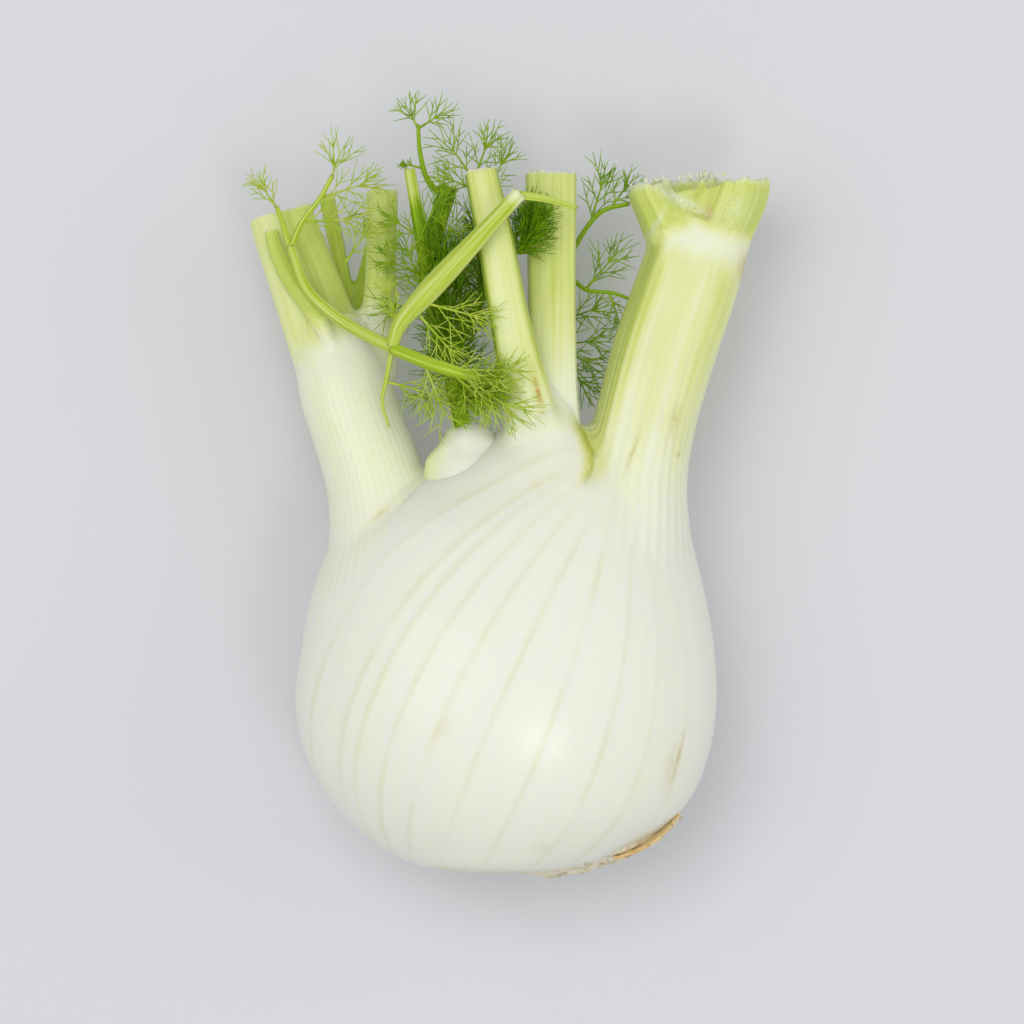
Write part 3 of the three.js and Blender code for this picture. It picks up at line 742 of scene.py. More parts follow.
def blended(base, *claims):
    """Mixes values point by point: each claim is a weight and the values that it puts on top."""
    for weight, values in claims:
        w = weight[:, None] if np.ndim(values) > 1 else weight
        base = base * (1 - w) + values * w
    return base


print("halfway between 2 and 6 is", blended(np.array([2.0]), (np.array([0.5]), np.array([6.0])))[0])

# %% [markdown]
# The ribs of the outer leaf are its larger veins. They lie unevenly, so their angles are listed where they
# show, and the hidden side gets even ones. Each is a very low ridge, because a higher one would break up
# the soft highlight on the bulb.

# %% The ribs
FRONT_RIBS = [42.6, 58.1, 78.8, 97.8, 113.0, 125.2, 135.2, 140.6, 154.9]  # degrees round the fibres' axis
BACK_RIBS = 15
RIB_HEIGHT, RIB_WIDTH = 0.08, 1.2
back_gap = (360 + FRONT_RIBS[0] - FRONT_RIBS[-1]) / (BACK_RIBS + 1)
rib_angles = FRONT_RIBS + [FRONT_RIBS[-1] + back_gap * (k + 1) for k in range(BACK_RIBS + 1)]
rib_middles = [(a + b) / 2 for a, b in zip(rib_angles, rib_angles[1:])]


def rib_turn(angle):
    """An angle in degrees, counted from the first rib on."""
    return (np.degrees(angle) - FRONT_RIBS[0]) % 360 + FRONT_RIBS[0]


def body_ribs(angle, out):
    """A count that is whole on each rib and even between them, and the millimetres from rib to rib."""
    count = np.interp(rib_turn(angle), rib_angles, range(len(rib_angles)))
    gap = np.radians(np.interp(rib_turn(angle), rib_middles, np.diff(rib_angles))) * out
    return count, gap


def rib_strength(points, angle):
    """Ribs fade as they run together at the poles, and only those on the upper face were bleached."""
    to_stalk = np.linalg.norm(points - RIB_POLE, axis=1)
    to_root = np.linalg.norm(points - ROOT_POLE, axis=1)
    degrees = np.degrees(angle) % 360
    showing = 0.25 + 0.75 * step(28, 44, degrees) * step(172, 158, degrees)
    return step(7, 22, to_stalk) * step(8, 30, to_root) * showing


def rib_line(strength, count, gap):
    """How near a rib is, as a vector that has no jump between ribs, and how far apart they are."""
    cycle = 2 * np.pi * count
    return np.stack([strength * np.cos(cycle), strength * np.sin(cycle), gap], axis=1)


def fine_ridges(angle):
    """The many small uneven ridges round a stalk, from -1 to 1."""
    waves = [(17, 0.3, 0.5), (26, 0.35, 2.1), (37, 0.25, 4.0), (53, 0.2, 1.2)]
    return sum(size * np.cos(count * angle + turn) for count, size, turn in waves)


print("ribs:", len(rib_angles) - 1)

# %% [markdown]
# The colour runs from creamy white at the base, where the leaves kept each other in the dark, to yellow
# green up the stalks. Tables give how green each stalk is from foot to tip. Scars and tears are soft ovals
# laid on from above: where, how long and wide, turned how far, and how strong.

# %% The outer leaf's greens and scars
RIGHT_GREEN = [0.03, 0.03, 0.08, 0.15, 0.25, 0.34, 0.37, 0.38, 0.4]
NARROW_GREEN = [0.06, 0.1, 0.26, 0.46, 0.44, 0.44, 0.48, 0.52, 0.54]
BROAD_GREEN = [0.06, 0.06, 0.1, 0.2, 0.4, 0.52, 0.57, 0.58, 0.56]
BODY_GREEN, STUMP_GREEN = 0.03, 0.62
INNER_GREEN = 0.3  # added on the flat inner face of the right stalk
# Bands along the right stalk: their angle round it, half-width, and how much greener they are.
RIGHT_BANDS = [(2.12, 0.06, 0.16), (0.72, 0.3, 0.15), (1.3, 0.05, -0.1), (1.62, 0.2, 0.05), (1.9, 0.1, -0.06)]
RIGHT_RIBS = 34
RIGHT_LINE = 0.8  # width of its rib lines, as a share of a body rib's
# Scars seen from above: centre, half-length, half-width, turn in degrees, strength.
SCARS = [
    [(42.3, -28), 7, 0.45, 76, 0.6],
    [(40.6, -30), 6.5, 1.5, 78, 0.3],
    [(-15.5, -20.5), 4, 1.5, 60, 0.2],
    [(9, -50), 2.5, 1.5, 0, 0.25],
    [(31.3, 47), 5.5, 0.5, 70, 0.75],
    [(41.8, 55), 3.5, 1.1, 78, 0.5],
    [(42.8, 46.2), 0.7, 0.5, 0, 0.8],
    [(60, 93), 4.2, 2.2, 78, 1.0],
    [(7, 38.5), 1.4, 1.4, 30, 0.2],
    [(50.3, 106), 2.6, 1.3, 80, 0.9],
    [(47.5, 111), 1.6, 0.8, 60, 0.5],
    [(-19, -56.4), 2.5, 0.5, -8, 0.9],
    [(-27.5, -53.8), 2.2, 0.5, -35, 0.8],
]
# Where the crown's white fibres are laid bare, given in the same way.
TEARS = [
    [(42.5, 110), 9, 1.3, -28, 0.7],
    [(57, 107), 5, 3.5, 60, 0.3],
    [(46, 115.5), 14, 1.1, 0, 0.5],
    [(37, 103), 5, 0.8, 60, 0.5],
]


def scars_at(points, scars):
    """How stained points are by the scars above them."""
    stain = np.zeros(len(points))
    for (x, y), length, width, turn, strength in scars:
        c, s = math.cos(math.radians(turn)), math.sin(math.radians(turn))
        dx, dy = points[:, 0] - x, points[:, 1] - y
        along, across = (dx * c + dy * s) / length, (dy * c - dx * s) / width
        stain += strength * np.exp(-(along**2) - across**2)
    return stain * step(30, 40, points[:, 2])


def claim(stalk, points, fade, room):
    """How much points belong to a stalk, with where they are on it."""
    share, angle, out = stalk.locate(points)
    return step(*fade, share) * step(*room, out), share, angle, out


def light_depth(points):
    """How much light sinks into the skin: none beside the seam, where one leaf lies upon the other."""
    y = points[:, 1]
    from_seam = np.abs(right_of_seam(points) - 3) * step(38, 30, y) + 12 * step(30, 38, y)
    return 0.35 * step(3, 11, from_seam)


print("scars:", len(SCARS), "and tears:", len(TEARS))

# %% [markdown]
# Where the leaf folds over the right stalk's foot there is a sharp crease, which the fusing would smooth
# away. So its line is listed as it is seen from above, the skin is pressed down beside it later, and painted
# shade is laid along it: an olive-brown line on its lip and a darker, browner hollow beside it. The trimmed
# root end has a thin dry rim, which is listed in the same way.

# %% The crease and the dry rim
CREASE_Y = [37, 39.5, 42.5, 46, 50, 54, 58]
CREASE_X = [18.2, 19.6, 21, 21.5, 19.9, 18.2, 17.2]
CREASE_DEPTH = 2.6
TRIM_X = [-30, -27.8, -19, -4, 10, 20]
TRIM_Y = [-58.5, -52.9, -55.7, -56.7, -56.7, -58]


def crease_at(points):
    """How far points lie to the right of the crease, and how deep it is there, from 0 to 1."""
    x, y, z = points.T
    reach = step(37, 42, y) * step(58, 51, y) * step(38, 46, z)
    return x - np.interp(y, CREASE_Y, CREASE_X), reach


def trimmed_edge(points):
    """How much points belong to the thin dry rim of the trimmed root end."""
    x, y, z = points.T
    return 0.9 * step(1.1, 0.4, y - np.interp(x, TRIM_X, TRIM_Y)) * step(30, 34, z)


print("the crease is", CREASE_Y[-1] - CREASE_Y[0], "mm long")

# %% [markdown]
# The relief is added along the normals: ribs on the body, fine ridges on the stalk, and a row of even ones
# at its foot. Then the crease is pressed in, and the edge that laps over the left leaf is tucked in by a
# hair over several millimetres, so that the seam shows as a soft line and not as a step.

# %% The outer leaf's relief
EDGE_TUCK = 0.6  # how far the leaf's edge is tucked in along the lower seam
ON_RIGHT = ((0.2, 0.42), (1.45, 1.15))  # where the right stalk's claim fades in, along it and outwards


def right_foot(share, out):
    """Where the even ribs of the right stalk's foot show."""
    return step(0.12, 0.26, share) * (1 - step(0.6, 0.85, share)) * step(1.3, 1.1, out)


def outer_relief(piece, points):
    """The outer leaf's points with its ribs, ridges, crease and tucked edge."""
    angle, ahead, out = body_fibres(points)
    count, gap = body_ribs(angle, out)
    weight, share, turn, level = claim(RIGHT_STALK, points, *ON_RIGHT)
    strength = rib_strength(points, angle) * (1 - weight)
    to_rib = np.abs(count - np.round(count)) * gap
    relief = RIB_HEIGHT * strength * hill(to_rib, RIB_WIDTH) + 0.06 * weight * fine_ridges(turn)
    relief += 0.13 * right_foot(share, level) * np.cos(RIGHT_RIBS * turn)
    shifted = points + normals_of(piece.data) * (relief * step(0, 2, points[:, 2]))[:, None]
    past_crease, reach = crease_at(points)
    hollow = step(-0.9, 0.3, past_crease) * np.exp(-np.maximum(past_crease, 0) / 3.5)
    shifted[:, 2] -= CREASE_DEPTH * reach * hollow
    tucked = EDGE_TUCK * step(6.5, 0.5, right_of_seam(points)) * step(30, 20, points[:, 1])
    inward = unit(MIDDLE + POLE_WAY * ahead[:, None] - points)
    return shifted + inward * (tucked * hill(body_level(points) - 1, 0.1))[:, None]


print("ribs stand up by", RIB_HEIGHT, "mm, and the leaf's edge is tucked in by", EDGE_TUCK, "mm")


# %% [markdown]
# Six numbers at each point say all that the skin's material needs: how green it is, how stained by a scar
# or darkened by the crease's painted shade, how torn, which way its fibres run, where its ribs are, and how
# deep light sinks in. They are worked out from the forms, stalk by stalk, and the material turns them into
# colours later.


# %% Marks on the outer leaf
def outer_greens(points, weight, share, turn):
    """How green the outer leaf is, apart from the feet of other stalks."""
    near_pole = hill(np.linalg.norm(points - RIB_POLE, axis=1), 17)
    green = blended(BODY_GREEN + 0.1 * near_pole, (weight, between(RIGHT_GREEN, share)))
    inner_face = step(2.14, 2.3, np.abs(turn)) * step(0.25, 0.5, share) * (1 - step(0.9, 0.96, share))
    bands = sum(size * hill(turn - middle, width) for middle, width, size in RIGHT_BANDS)
    shaft = weight * step(0.2, 0.55, share) * (1 - step(0.84, 0.92, share))
    return green + INNER_GREEN * weight * inner_face + bands * shaft - 0.24 * weight * step(0.88, 0.95, share)


def dress_outer_leaf(piece):
    """Adds the relief and keeps the numbers that the material reads."""
    points = points_of(piece.data)
    move_points(piece.data, outer_relief(piece, points))
    angle, ahead, out = body_fibres(points)
    count, gap = body_ribs(angle, out)
    weight, share, turn, level = claim(RIGHT_STALK, points, *ON_RIGHT)
    body_lines = rib_line(rib_strength(points, angle) * (1 - weight), count, gap)
    stalk_gap = RIGHT_STALK.girth(share) / RIGHT_RIBS
    stalk_lines = rib_line(1, RIGHT_RIBS * turn / math.tau, stalk_gap / RIGHT_LINE)
    green = outer_greens(points, weight, share, turn)
    along_stalk = fibre_vector(turn, share * RIGHT_STALK.length)
    fibres = blended(fibre_vector(angle, ahead, 3), (weight, along_stalk))
    torn = np.zeros(len(points))
    for stalk, tones in ((NARROW_STALK, NARROW_GREEN), (BROAD_STALK, BROAD_GREEN)):
        weight, along, around, _ = claim(stalk, points, (0.08, 0.26), (1.6, 1.15))
        green = blended(green, (weight, between(tones, along)))
        fibres = blended(fibres, (weight, fibre_vector(around, along * stalk.length)))
    for stump in stumps:
        weight, along, around, _ = claim(stump, points, (0.18, 0.46), (1.3, 1.1))
        end = step(0.86, 1, along)
        green = blended(green, (weight, STUMP_GREEN - 0.15 * end))
        torn = np.maximum(torn, weight * 0.8 * end)
        fibres = blended(fibres, (weight, fibre_vector(around, along * stump.length)))
    past_crease, reach = crease_at(points)
    # Painted shade of the crease: an olive-brown line on its lip, and a darker, browner hollow beside it.
    crease_shade_line = reach * step(-3.5, -0.2, past_crease) * step(0.8, 0, past_crease)
    shade = reach * step(-0.2, 0.6, past_crease) * step(6, 1, past_crease)
    rim = trimmed_edge(points)
    keep(
        piece.data,
        green=green + 0.4 * crease_shade_line + 0.16 * shade,
        stain=scars_at(points, SCARS) + 0.5 * crease_shade_line + 0.12 * shade + 0.38 * rim,
        torn=np.maximum(torn, 0.5 * rim) + scars_at(points, TEARS),
        fibres=fibres,
        ribs=blended(body_lines, (right_foot(share, level), stalk_lines)),
        depth=light_depth(points),
    )


dress_outer_leaf(outer_leaf)
names = [kept.name for kept in outer_leaf.data.attributes if kept.name != "position"]
print("numbers kept on the outer leaf:", ", ".join(names))

# %% [markdown]
# The left leaf is dressed in the same way. It is paler than the right one, its ribs are fine and even, and
# only its branches are truly green. Where the upright branch leaves it, its joint is crumbly and white.

# %% Marks on the left leaf
LEFT_GREEN = [0.03, 0.03, 0.06, 0.1, 0.13, 0.15, 0.16, 0.12, 0.1]
LEFT_RIBS = 44
LEFT_LINE = 0.7  # width of its rib lines, as a share of a body rib's
LEFT_SCARS = [
    [(-31, 31.5), 3.2, 0.7, 40, 0.5],
    [(-26, 37), 6, 0.6, 38, 0.25],
]
JOINT = [-33.5, 79]
# For each branch: how green it is, how much greener on its lit side, and where its claim fades in.
BRANCH_GREEN = [
    (BLADE, 0.44, 0.2, (0.02, 0.3)),
    (UPRIGHT, 0.6, 0, (0.02, 0.3)),
    (BACK_BRANCHES[0], 0.8, 0, (0.02, 0.3)),
    (BACK_BRANCHES[1], 0.85, 0, (0.02, 0.3)),
    (SHOOT, 0.72, 0, (0.2, 0.5)),
]


def dress_left_leaf(piece):
    """Adds the relief and keeps the numbers that the material reads."""
    points = points_of(piece.data)
    angle, ahead, out = body_fibres(points)
    weight, share, turn, _ = claim(LEFT_STALK, points, (0.02, 0.3), (1.45, 1.15))
    ribbed = weight * (1 - step(0.86, 0.95, share))
    relief = 0.05 * ribbed * np.cos(LEFT_RIBS * turn)
    stalk_gap = LEFT_STALK.girth(share) / LEFT_RIBS
    stalk_lines = rib_line(0.8 * ribbed, LEFT_RIBS * turn / math.tau, stalk_gap / LEFT_LINE)
    count, gap = body_ribs(angle, out)
    strength = rib_strength(points, angle) * step(34, 18, points[:, 1])
    relief += RIB_HEIGHT * strength * (1 - weight) * hill(np.abs(count - np.round(count)) * gap, RIB_WIDTH)
    ribs = blended(rib_line(strength, count, gap), (weight, stalk_lines))
    green = blended(np.full(len(points), BODY_GREEN), (weight, between(LEFT_GREEN, share)))
    fibres = blended(fibre_vector(angle, ahead, 3), (weight, fibre_vector(turn, share * LEFT_STALK.length)))
    torn = np.zeros(len(points))
    for stalk, tone, lit, fade in BRANCH_GREEN:
        weight, share, turn, _ = claim(stalk, points, fade, (1.35, 1.15))
        tones = tone + lit * step(1.75, 1.5, turn) * step(-0.5, 0.1, turn)
        green = blended(green, (weight, tones * (1 - 0.3 * step(0.97, 1, share))))
        torn = np.maximum(torn, weight * step(0.985, 1, share))
        relief = relief * (1 - weight) + 0.08 * weight * fine_ridges(turn)
        fibres = blended(fibres, (weight, fibre_vector(turn, share * stalk.length)))
    joint = hill(np.linalg.norm(points[:, :2] - JOINT, axis=1), 5) * step(30, 36, points[:, 2])
    move_points(piece.data, points + normals_of(piece.data) * (relief * step(0, 2, points[:, 2]))[:, None])
    keep(
        piece.data,
        green=green * (1 - 0.6 * joint),
        stain=scars_at(points, LEFT_SCARS),
        torn=np.maximum(torn, 0.8 * joint),
        fibres=fibres,
        ribs=ribs,
        depth=light_depth(points),
    )


dress_left_leaf(left_leaf)
print("the left leaf ends", round(float(points_of(left_leaf.data)[:, 1].max()), 1), "mm up")

# %% [markdown]
# The middle stalks are greenest at their edges, where they saw the light, and the narrow one has a brown
# scar at its foot. The heart leaf between them was pressed by its neighbours while it grew, so its top is
# puffy: a few low lumps are pushed out of it along its normals. Its left side is painted olive as shade.

# %% Marks on the middle leaves
NARROW_SCAR = [[(7.9, 61.5), 4.2, 0.75, 105, 1.1]]
# Darker stripes along a stalk: angle, width and strength.
NARROW_EDGES = [(2.75, 0.3, 0.5), (0.4, 0.4, 0.32), (1.7, 0.3, -0.08)]
BROAD_EDGES = [(1.5, 0.08, 0.07), (0.75, 0.1, 0.05), (2.8, 0.3, 0.15)]
# On the heart leaf the stripe is painted shade: olive green down its left side.
HEART_SHADE_SIDE = [(2.9, 0.6, 0.34)]
HEART_GREEN = [0.04, 0.04, 0.04, 0.04]
# The heart leaf's puffy lumps: where, how high and how wide.
LUMPS = [
    ((-16.5, 49, 50), 1.1, 3), ((-9.5, 52, 51), 1.5, 3.2), ((-3, 50.5, 51), 1.2, 3),
    ((-12.5, 45.5, 55), 0.7, 2.6), ((-6, 46.5, 55.5), 0.8, 2.8), ((-19.5, 45, 47), 0.8, 2.6),
    ((-1.5, 46, 54), 0.6, 2.2),
]  # fmt: skip


def dress_middle_leaf(piece, stalk, tones, edges, scars=(), torn=1, lumps=()):
    """Raises the lumps and keeps the numbers that the material reads."""
    points = points_of(piece.data)
    share, turn, _ = stalk.locate(points)
    stripes = sum(size * hill(turn - middle, width) for middle, width, size in edges)
    for middle, height, reach in lumps:
        swell = height * hill(np.linalg.norm(points - middle, axis=1), reach)
        points = points + normals_of(piece.data) * swell[:, None]
    move_points(piece.data, points)
    keep(
        piece.data,
        green=between(tones, share) + stripes * step(0.2, 0.5, share),
        stain=scars_at(points, scars),
        torn=torn * step(0.992, 1, share),
        fibres=fibre_vector(turn, share * stalk.length),
        ribs=np.zeros((len(points), 3)),
        depth=light_depth(points),
    )


dress_middle_leaf(narrow_leaf, NARROW_STALK, NARROW_GREEN, NARROW_EDGES, NARROW_SCAR)
dress_middle_leaf(broad_leaf, BROAD_STALK, BROAD_GREEN, BROAD_EDGES)
dress_middle_leaf(heart_leaf, HEART, HEART_GREEN, HEART_SHADE_SIDE, torn=0, lumps=LUMPS)
print("the heart leaf has", len(LUMPS), "lumps")

# %% [markdown]
# The root end was trimmed with a knife, and dried to a corky plate with the rings of old leaf scars. A
# stepped outline spun about its axis gives the rings. A rule then makes it oval, wavy and pitted, turns it
# and sets it against the body.

# %% The root end
PLATE_CENTRE, PLATE_TURN, PLATE_LEAN = (22, -50.5, 37.5), 0.3, -0.14
PLATE_WIDE, PLATE_HIGH, PLATE_DEPTH = 22, 17, 6.2
PLATE_SIDES = 120
# The outline of half the plate: how far out, and how far forward, as shares of its size.
PLATE_RINGS = [
    (0, -1), (0.16, -1), (0.32, -0.98), (0.36, -0.92), (0.4, -0.86), (0.52, -0.84), (0.64, -0.82),
    (0.7, -0.7), (0.74, -0.6), (0.87, -0.38), (1, -0.15), (1, 0.0), (0.96, 0.2), (0, 0.2),
]  # fmt: skip


def turned(points, turn, lean, centre):
    """Points leaned about X, then turned about Z, then moved."""
    c, s = math.cos(lean), math.sin(lean)
    points = points @ np.array([[1, 0, 0], [0, c, s], [0, -s, c]])
    c, s = math.cos(turn), math.sin(turn)
    return points @ np.array([[c, s, 0], [-s, c, 0], [0, 0, 1]]) + centre


def root_plate_form():
    """The corky plate."""
    bm = spun([(radius, front, 0) for radius, front in PLATE_RINGS], (0, 1, 0), PLATE_SIDES)
    bmesh.ops.subdivide_edges(bm, edges=bm.edges, cuts=1, use_grid_fill=True)
    mesh = mesh_of(bm)
    x, y, z = points_of(mesh).T
    angle, radius = np.arctan2(z, x), np.hypot(x, z)
    wobble = 1 + 0.03 * np.sin(5 * angle + 1) + 0.02 * np.sin(11 * angle)
    wobble += 0.008 * np.sin(37 * angle + 9 * radius)
    pits = 0.05 * np.sin(23 * angle + 14 * radius) * np.sin(31 * radius + 2) * step(0.1, 0.3, radius)
    uneven = 1 + 0.06 * np.sin(7 * angle) + pits
    shaped = np.stack([x * wobble * PLATE_WIDE, y * uneven * PLATE_DEPTH, z * wobble * PLATE_HIGH], axis=1)
    move_points(mesh, turned(shaped, PLATE_TURN, PLATE_LEAN, PLATE_CENTRE))
    return as_object(outward(mesh), "root_plate_cork")


root_plate = root_plate_form()
print("the root plate has", len(root_plate.data.polygons), "faces")

# %% [markdown]
# Beside the root end a scrap of an old leaf base has dried to a thin, bowed scale. It starts as a flat grid,
# which is bent by a rule and tapered with a ragged edge, and a solidify modifier gives it a wall.

# %% The dry scale
SCALE_CENTRE, SCALE_TURN, SCALE_LEAN = (34, -47.4, 43), 0.5, 0.6
SCALE_LENGTH, SCALE_WIDTH, SCALE_THICK = 19, 16, 0.7
SCALE_BOW, SCALE_CUP = 1.8, 3


def dry_scale_form():
    """The dried scale: a sheet that is bowed, curled and given a thin wall."""
    bm = bmesh.new()
    bmesh.ops.create_grid(bm, x_segments=60, y_segments=44, size=1)
    bmesh.ops.rotate(bm, verts=bm.verts, cent=(0, 0, 0), matrix=Matrix.Rotation(math.pi / 2, 3, "X"))
    mesh = mesh_of(bm)
    along, _, across = points_of(mesh).T
    ragged = 1 + 0.03 * np.sin(17 * along + 3 * across) + 0.025 * np.sin(29 * across + 5)
    taper = (0.75 - 0.25 * along - 0.3 * along**2) * ragged
    veins = 0.12 * np.cos(26 * across)
    lift = SCALE_CUP * (across * taper) ** 2 - SCALE_BOW * (1 - along**2) + veins
    flat = np.stack([along * SCALE_LENGTH / 2 * ragged, lift, across * taper * SCALE_WIDTH / 2], axis=1)
    move_points(mesh, turned(flat, SCALE_TURN, SCALE_LEAN, SCALE_CENTRE))
    piece = as_object(mesh, "dry_scale_paper")
    wall = piece.modifiers.new("wall", "SOLIDIFY")
    wall.thickness, wall.offset = SCALE_THICK, 0
    return settle(piece)


dry_scale = dry_scale_form()
print("the dry scale has", len(dry_scale.data.polygons), "faces")

# %% [markdown]
# Fennel leaves are divided again and again until only green threads are left. On the real frond a stem
# carries twigs, a twig carries threads, and each thread forks two or three times. A thread is a curve with
# a round bevel whose radius thins to its tip, which costs a few dozen faces. All threads of a frond are
# splines of one curve, and that curve is made a mesh at the end.

# %% Threads
THREAD = 0.19  # radius at a thread's foot, in millimetres
TWIG = 0.38


def acrosses(axis):
    """Two directions square to an axis, the first of them level."""
    level = unit(np.cross(axis, [0, 0.2, 1]))
    return level, np.cross(level, axis)


def thread(foot, way, length, sag, radius, steps=5):
    """A thread that sets out one way and bends another: its points and their radii."""
    t = np.linspace(0, 1, steps)[:, None]
    return foot + way * length * t + sag * length * t**2, radius * (1 - 0.55 * t[:, 0])


def forked(foot, way, face, length, draws, radius, forks=3):
    """A nearly straight thread, and single threads that leave it at sharp angles on alternate sides."""
    side = np.cross(way, face)
    sag = (next(draws) - 0.5) * 0.26 * side + (next(draws) - 0.5) * 0.24 * face
    threads = [thread(foot, way, length, sag, radius)]
    hand = 1 if next(draws) < 0.5 else -1
    for k in range(forks):
        share = 0.12 + 0.6 * (k + next(draws)) / forks
        spread = 0.35 + 0.35 * next(draws)
        out = unit(hand * side + face * 1.2 * (next(draws) - 0.5))
        onward = unit(way * math.cos(spread) + out * math.sin(spread))
        start = foot + way * length * share + sag * length * share**2
        reach = length * (1 - 0.8 * share) * (0.6 + 0.5 * next(draws))
        bend = (next(draws) - 0.5) * 0.3 * side
        threads.append(thread(start, onward, reach, bend, radius * 0.85, 4))
        hand = -hand
    return threads


def threads_mesh(threads):
    """The threads as splines of one round-bevelled curve, made a mesh."""
    curve = bpy.data.curves.new("threads", "CURVE")
    curve.dimensions, curve.bevel_depth, curve.bevel_resolution = "3D", 1, 0
    curve.use_fill_caps = True
    for points, radii in threads:
        spline = curve.splines.new("POLY")
        spline.points.add(len(points) - 1)
        spline.points.foreach_set("co", np.column_stack([points, np.ones(len(points))]).ravel())
        spline.points.foreach_set("radius", radii)
    holder = as_object(curve, "threads")
    mesh = bpy.data.meshes.new_from_object(holder.evaluated_get(bpy.context.evaluated_depsgraph_get()))
    bpy.data.objects.remove(holder)
    return mesh


print("threads are", 2 * THREAD, "mm thick at the foot and twigs", 2 * TWIG, "mm")

# %% [markdown]
# Threads grow in two ways. A twig carries them in pairs, on both sides and well apart, with a small fan at
# its tip. The young middle of a frond is a dense brush instead, with threads standing out all round a slim
# stem. Each next one is turned by the golden angle, which is how a plant sets its leaves so that none
# hides another.

# %% Sprays and plumes
LEAFLET_SPACING = 3.7
FAN = 4  # threads at a twig's tip
GOLDEN_ANGLE = math.pi * (3 - math.sqrt(5))
DENSER = 8  # threads drawn for each leaflet of the frame's plume


def spray(start, end, reach, draws, inner):
    """A twig with forked threads where the frame's solid has leaflets, and a small fan at its tip."""
    start, end = np.array(start, float), np.array(end, float)
    length = np.linalg.norm(end - start)
    axis = (end - start) / length
    level, face = acrosses(axis)
    pairs = max(1, round(length / LEAFLET_SPACING))
    threads = [thread(start, axis, length, face * 0.02, TWIG)]
    for i in range(pairs):
        for hand in (-1, 1):
            share = (i + 0.6 + 0.3 * next(draws)) / pairs
            roll = (next(draws) - 0.5) * 1.7
            spread = 0.5 + 0.35 * next(draws)
            out = level * hand * math.cos(roll) + face * math.sin(roll)
            way = axis * math.cos(spread) + out * math.sin(spread)
            far = reach * (1 + 0.5 * next(draws)) * (1.1 - 0.35 * share)
            turned_face = unit(np.cross(way, unit(np.cross(face, way))))
            threads += forked(start + axis * length * share, way, turned_face, far, inner, THREAD)
    for k in range(FAN):
        turn = (k - (FAN - 1) / 2) * 0.38 + 0.25 * (next(inner) - 0.5)
        way = unit(axis * math.cos(turn) + level * math.sin(turn) + face * 0.4 * (next(inner) - 0.5))
        threads += forked(end, way, face, reach * (0.8 + 0.5 * next(inner)), inner, THREAD, 2)
    return threads


def plume(start, end, core, leaflets, reach, inner):
    """A dense brush: a slim stem with forked threads standing out all round it."""
    start, end = np.array(start, float), np.array(end, float)
    axis = unit(end - start)
    level, face = acrosses(axis)
    threads = [thread(start, axis, np.linalg.norm(end - start), face * 0.02, TWIG * 1.3)]
    count = leaflets * DENSER
    for i in range(count):
        share = (i + 0.5) / count
        out = level * math.cos(i * GOLDEN_ANGLE) + face * math.sin(i * GOLDEN_ANGLE)
        way = unit(out + axis * (0.5 + 1.1 * share) + level * 0.5 * (next(inner) - 0.5))
        foot = start + (end - start) * share + out * core * 0.3
        far = (reach + core * 0.4) * (0.7 + 0.5 * next(inner))
        threads += forked(foot, way, unit(np.cross(way, axis)), far, inner, THREAD * 0.85, 2)
    return threads


print("a twig of 10 mm has", 2 * round(10 / LEAFLET_SPACING) + FAN, "forked threads")

# %% [markdown]
# Where a stalk was torn or cut, its fibres are left standing: short, pale and bent every way. They are the
# same kind of curve as a thread, and once they are a mesh they are joined to the leaf that they grew in.

# %% Torn fibres
FRAY = 0.26  # radius of a torn fibre's foot, in millimetres
BELOW_RIM = -0.4
UPWARD = np.array([0, 1, 0.25])


def frays(places, way, count, length, seed):
    """Short pale fibres that stand out of a torn rim: places gives a point for a number from 0 to 1."""
    draws = random_from(seed)
    threads = []
    for _ in range(count):
        foot = np.array(places(next(draws)), float)
        out = unit(way + 1.3 * (np.array([next(draws), next(draws), next(draws)]) - 0.5))
        bend = 0.6 * (np.array([next(draws), next(draws), next(draws)]) - 0.5)
        reach = length * (0.5 + next(draws))
        threads.append(thread(foot - out * 0.6, out, reach, bend, FRAY * (0.7 + 0.9 * next(draws)), 4))
    return threads


def rim_frays(stalk, count, length, seed):
    """Torn fibres all round a stalk's cut rim."""

    def rim(share):
        return stalk.at(np.ones(1), np.array([math.tau * share]), 0.88, 0, BELOW_RIM)[0]

    return frays(rim, UPWARD, count, length, seed)


def crumbly_joint(share):
    """A point on the crumbly joint of the left stalk, for a number from 0 to 1."""
    return -39 + 9 * share, 77.5 + 3 * math.sin(7 * share), 43.5 - 3 * share


def with_frays(piece, threads):
    """Joins torn fibres to a leaf, and keeps the numbers that its material reads."""
    brush = threads_mesh(threads)
    points = points_of(brush)
    keep(
        brush,
        green=0.12 + 0.1 * np.sin(points.sum(1)),
        stain=np.maximum(0, 0.2 * np.sin(1.7 * points.sum(1))),
        torn=np.full(len(points), 0.35),
        fibres=points * 0.1,
        ribs=np.zeros((len(points), 3)),
        depth=np.zeros(len(points)),
    )
    was, piece.data = piece.data, joined([piece.data.copy(), brush], piece.data.name)
    bpy.data.meshes.remove(was)


crown_frays = []
for stump, count, seed in zip(stumps, (30, 44, 40), (80, 81, 82)):
    crown_frays += rim_frays(stump, count, 1.0, seed)
joint_frays = frays(crumbly_joint, UPWARD, 22, 1.1, 91)
joint_frays += rim_frays(UPRIGHT, 14, 0.7, 92) + rim_frays(BLADE, 20, 0.6, 93)
narrow_frays = rim_frays(NARROW_STALK, 16, 0.6, 94)
broad_frays = rim_frays(BROAD_STALK, 18, 0.6, 95)
with_frays(outer_leaf, crown_frays)
with_frays(left_leaf, joint_frays)
with_frays(narrow_leaf, narrow_frays)
with_frays(broad_leaf, broad_frays)
print("torn fibres:", sum(map(len, (crown_frays, joint_frays, narrow_frays, broad_frays))))

# %% [markdown]
# A thread may pass in front of a leaf, but not through it. Each leaf's mesh is put into a search tree, and
# a thread with a point past its foot behind the nearest bit of skin is left out.

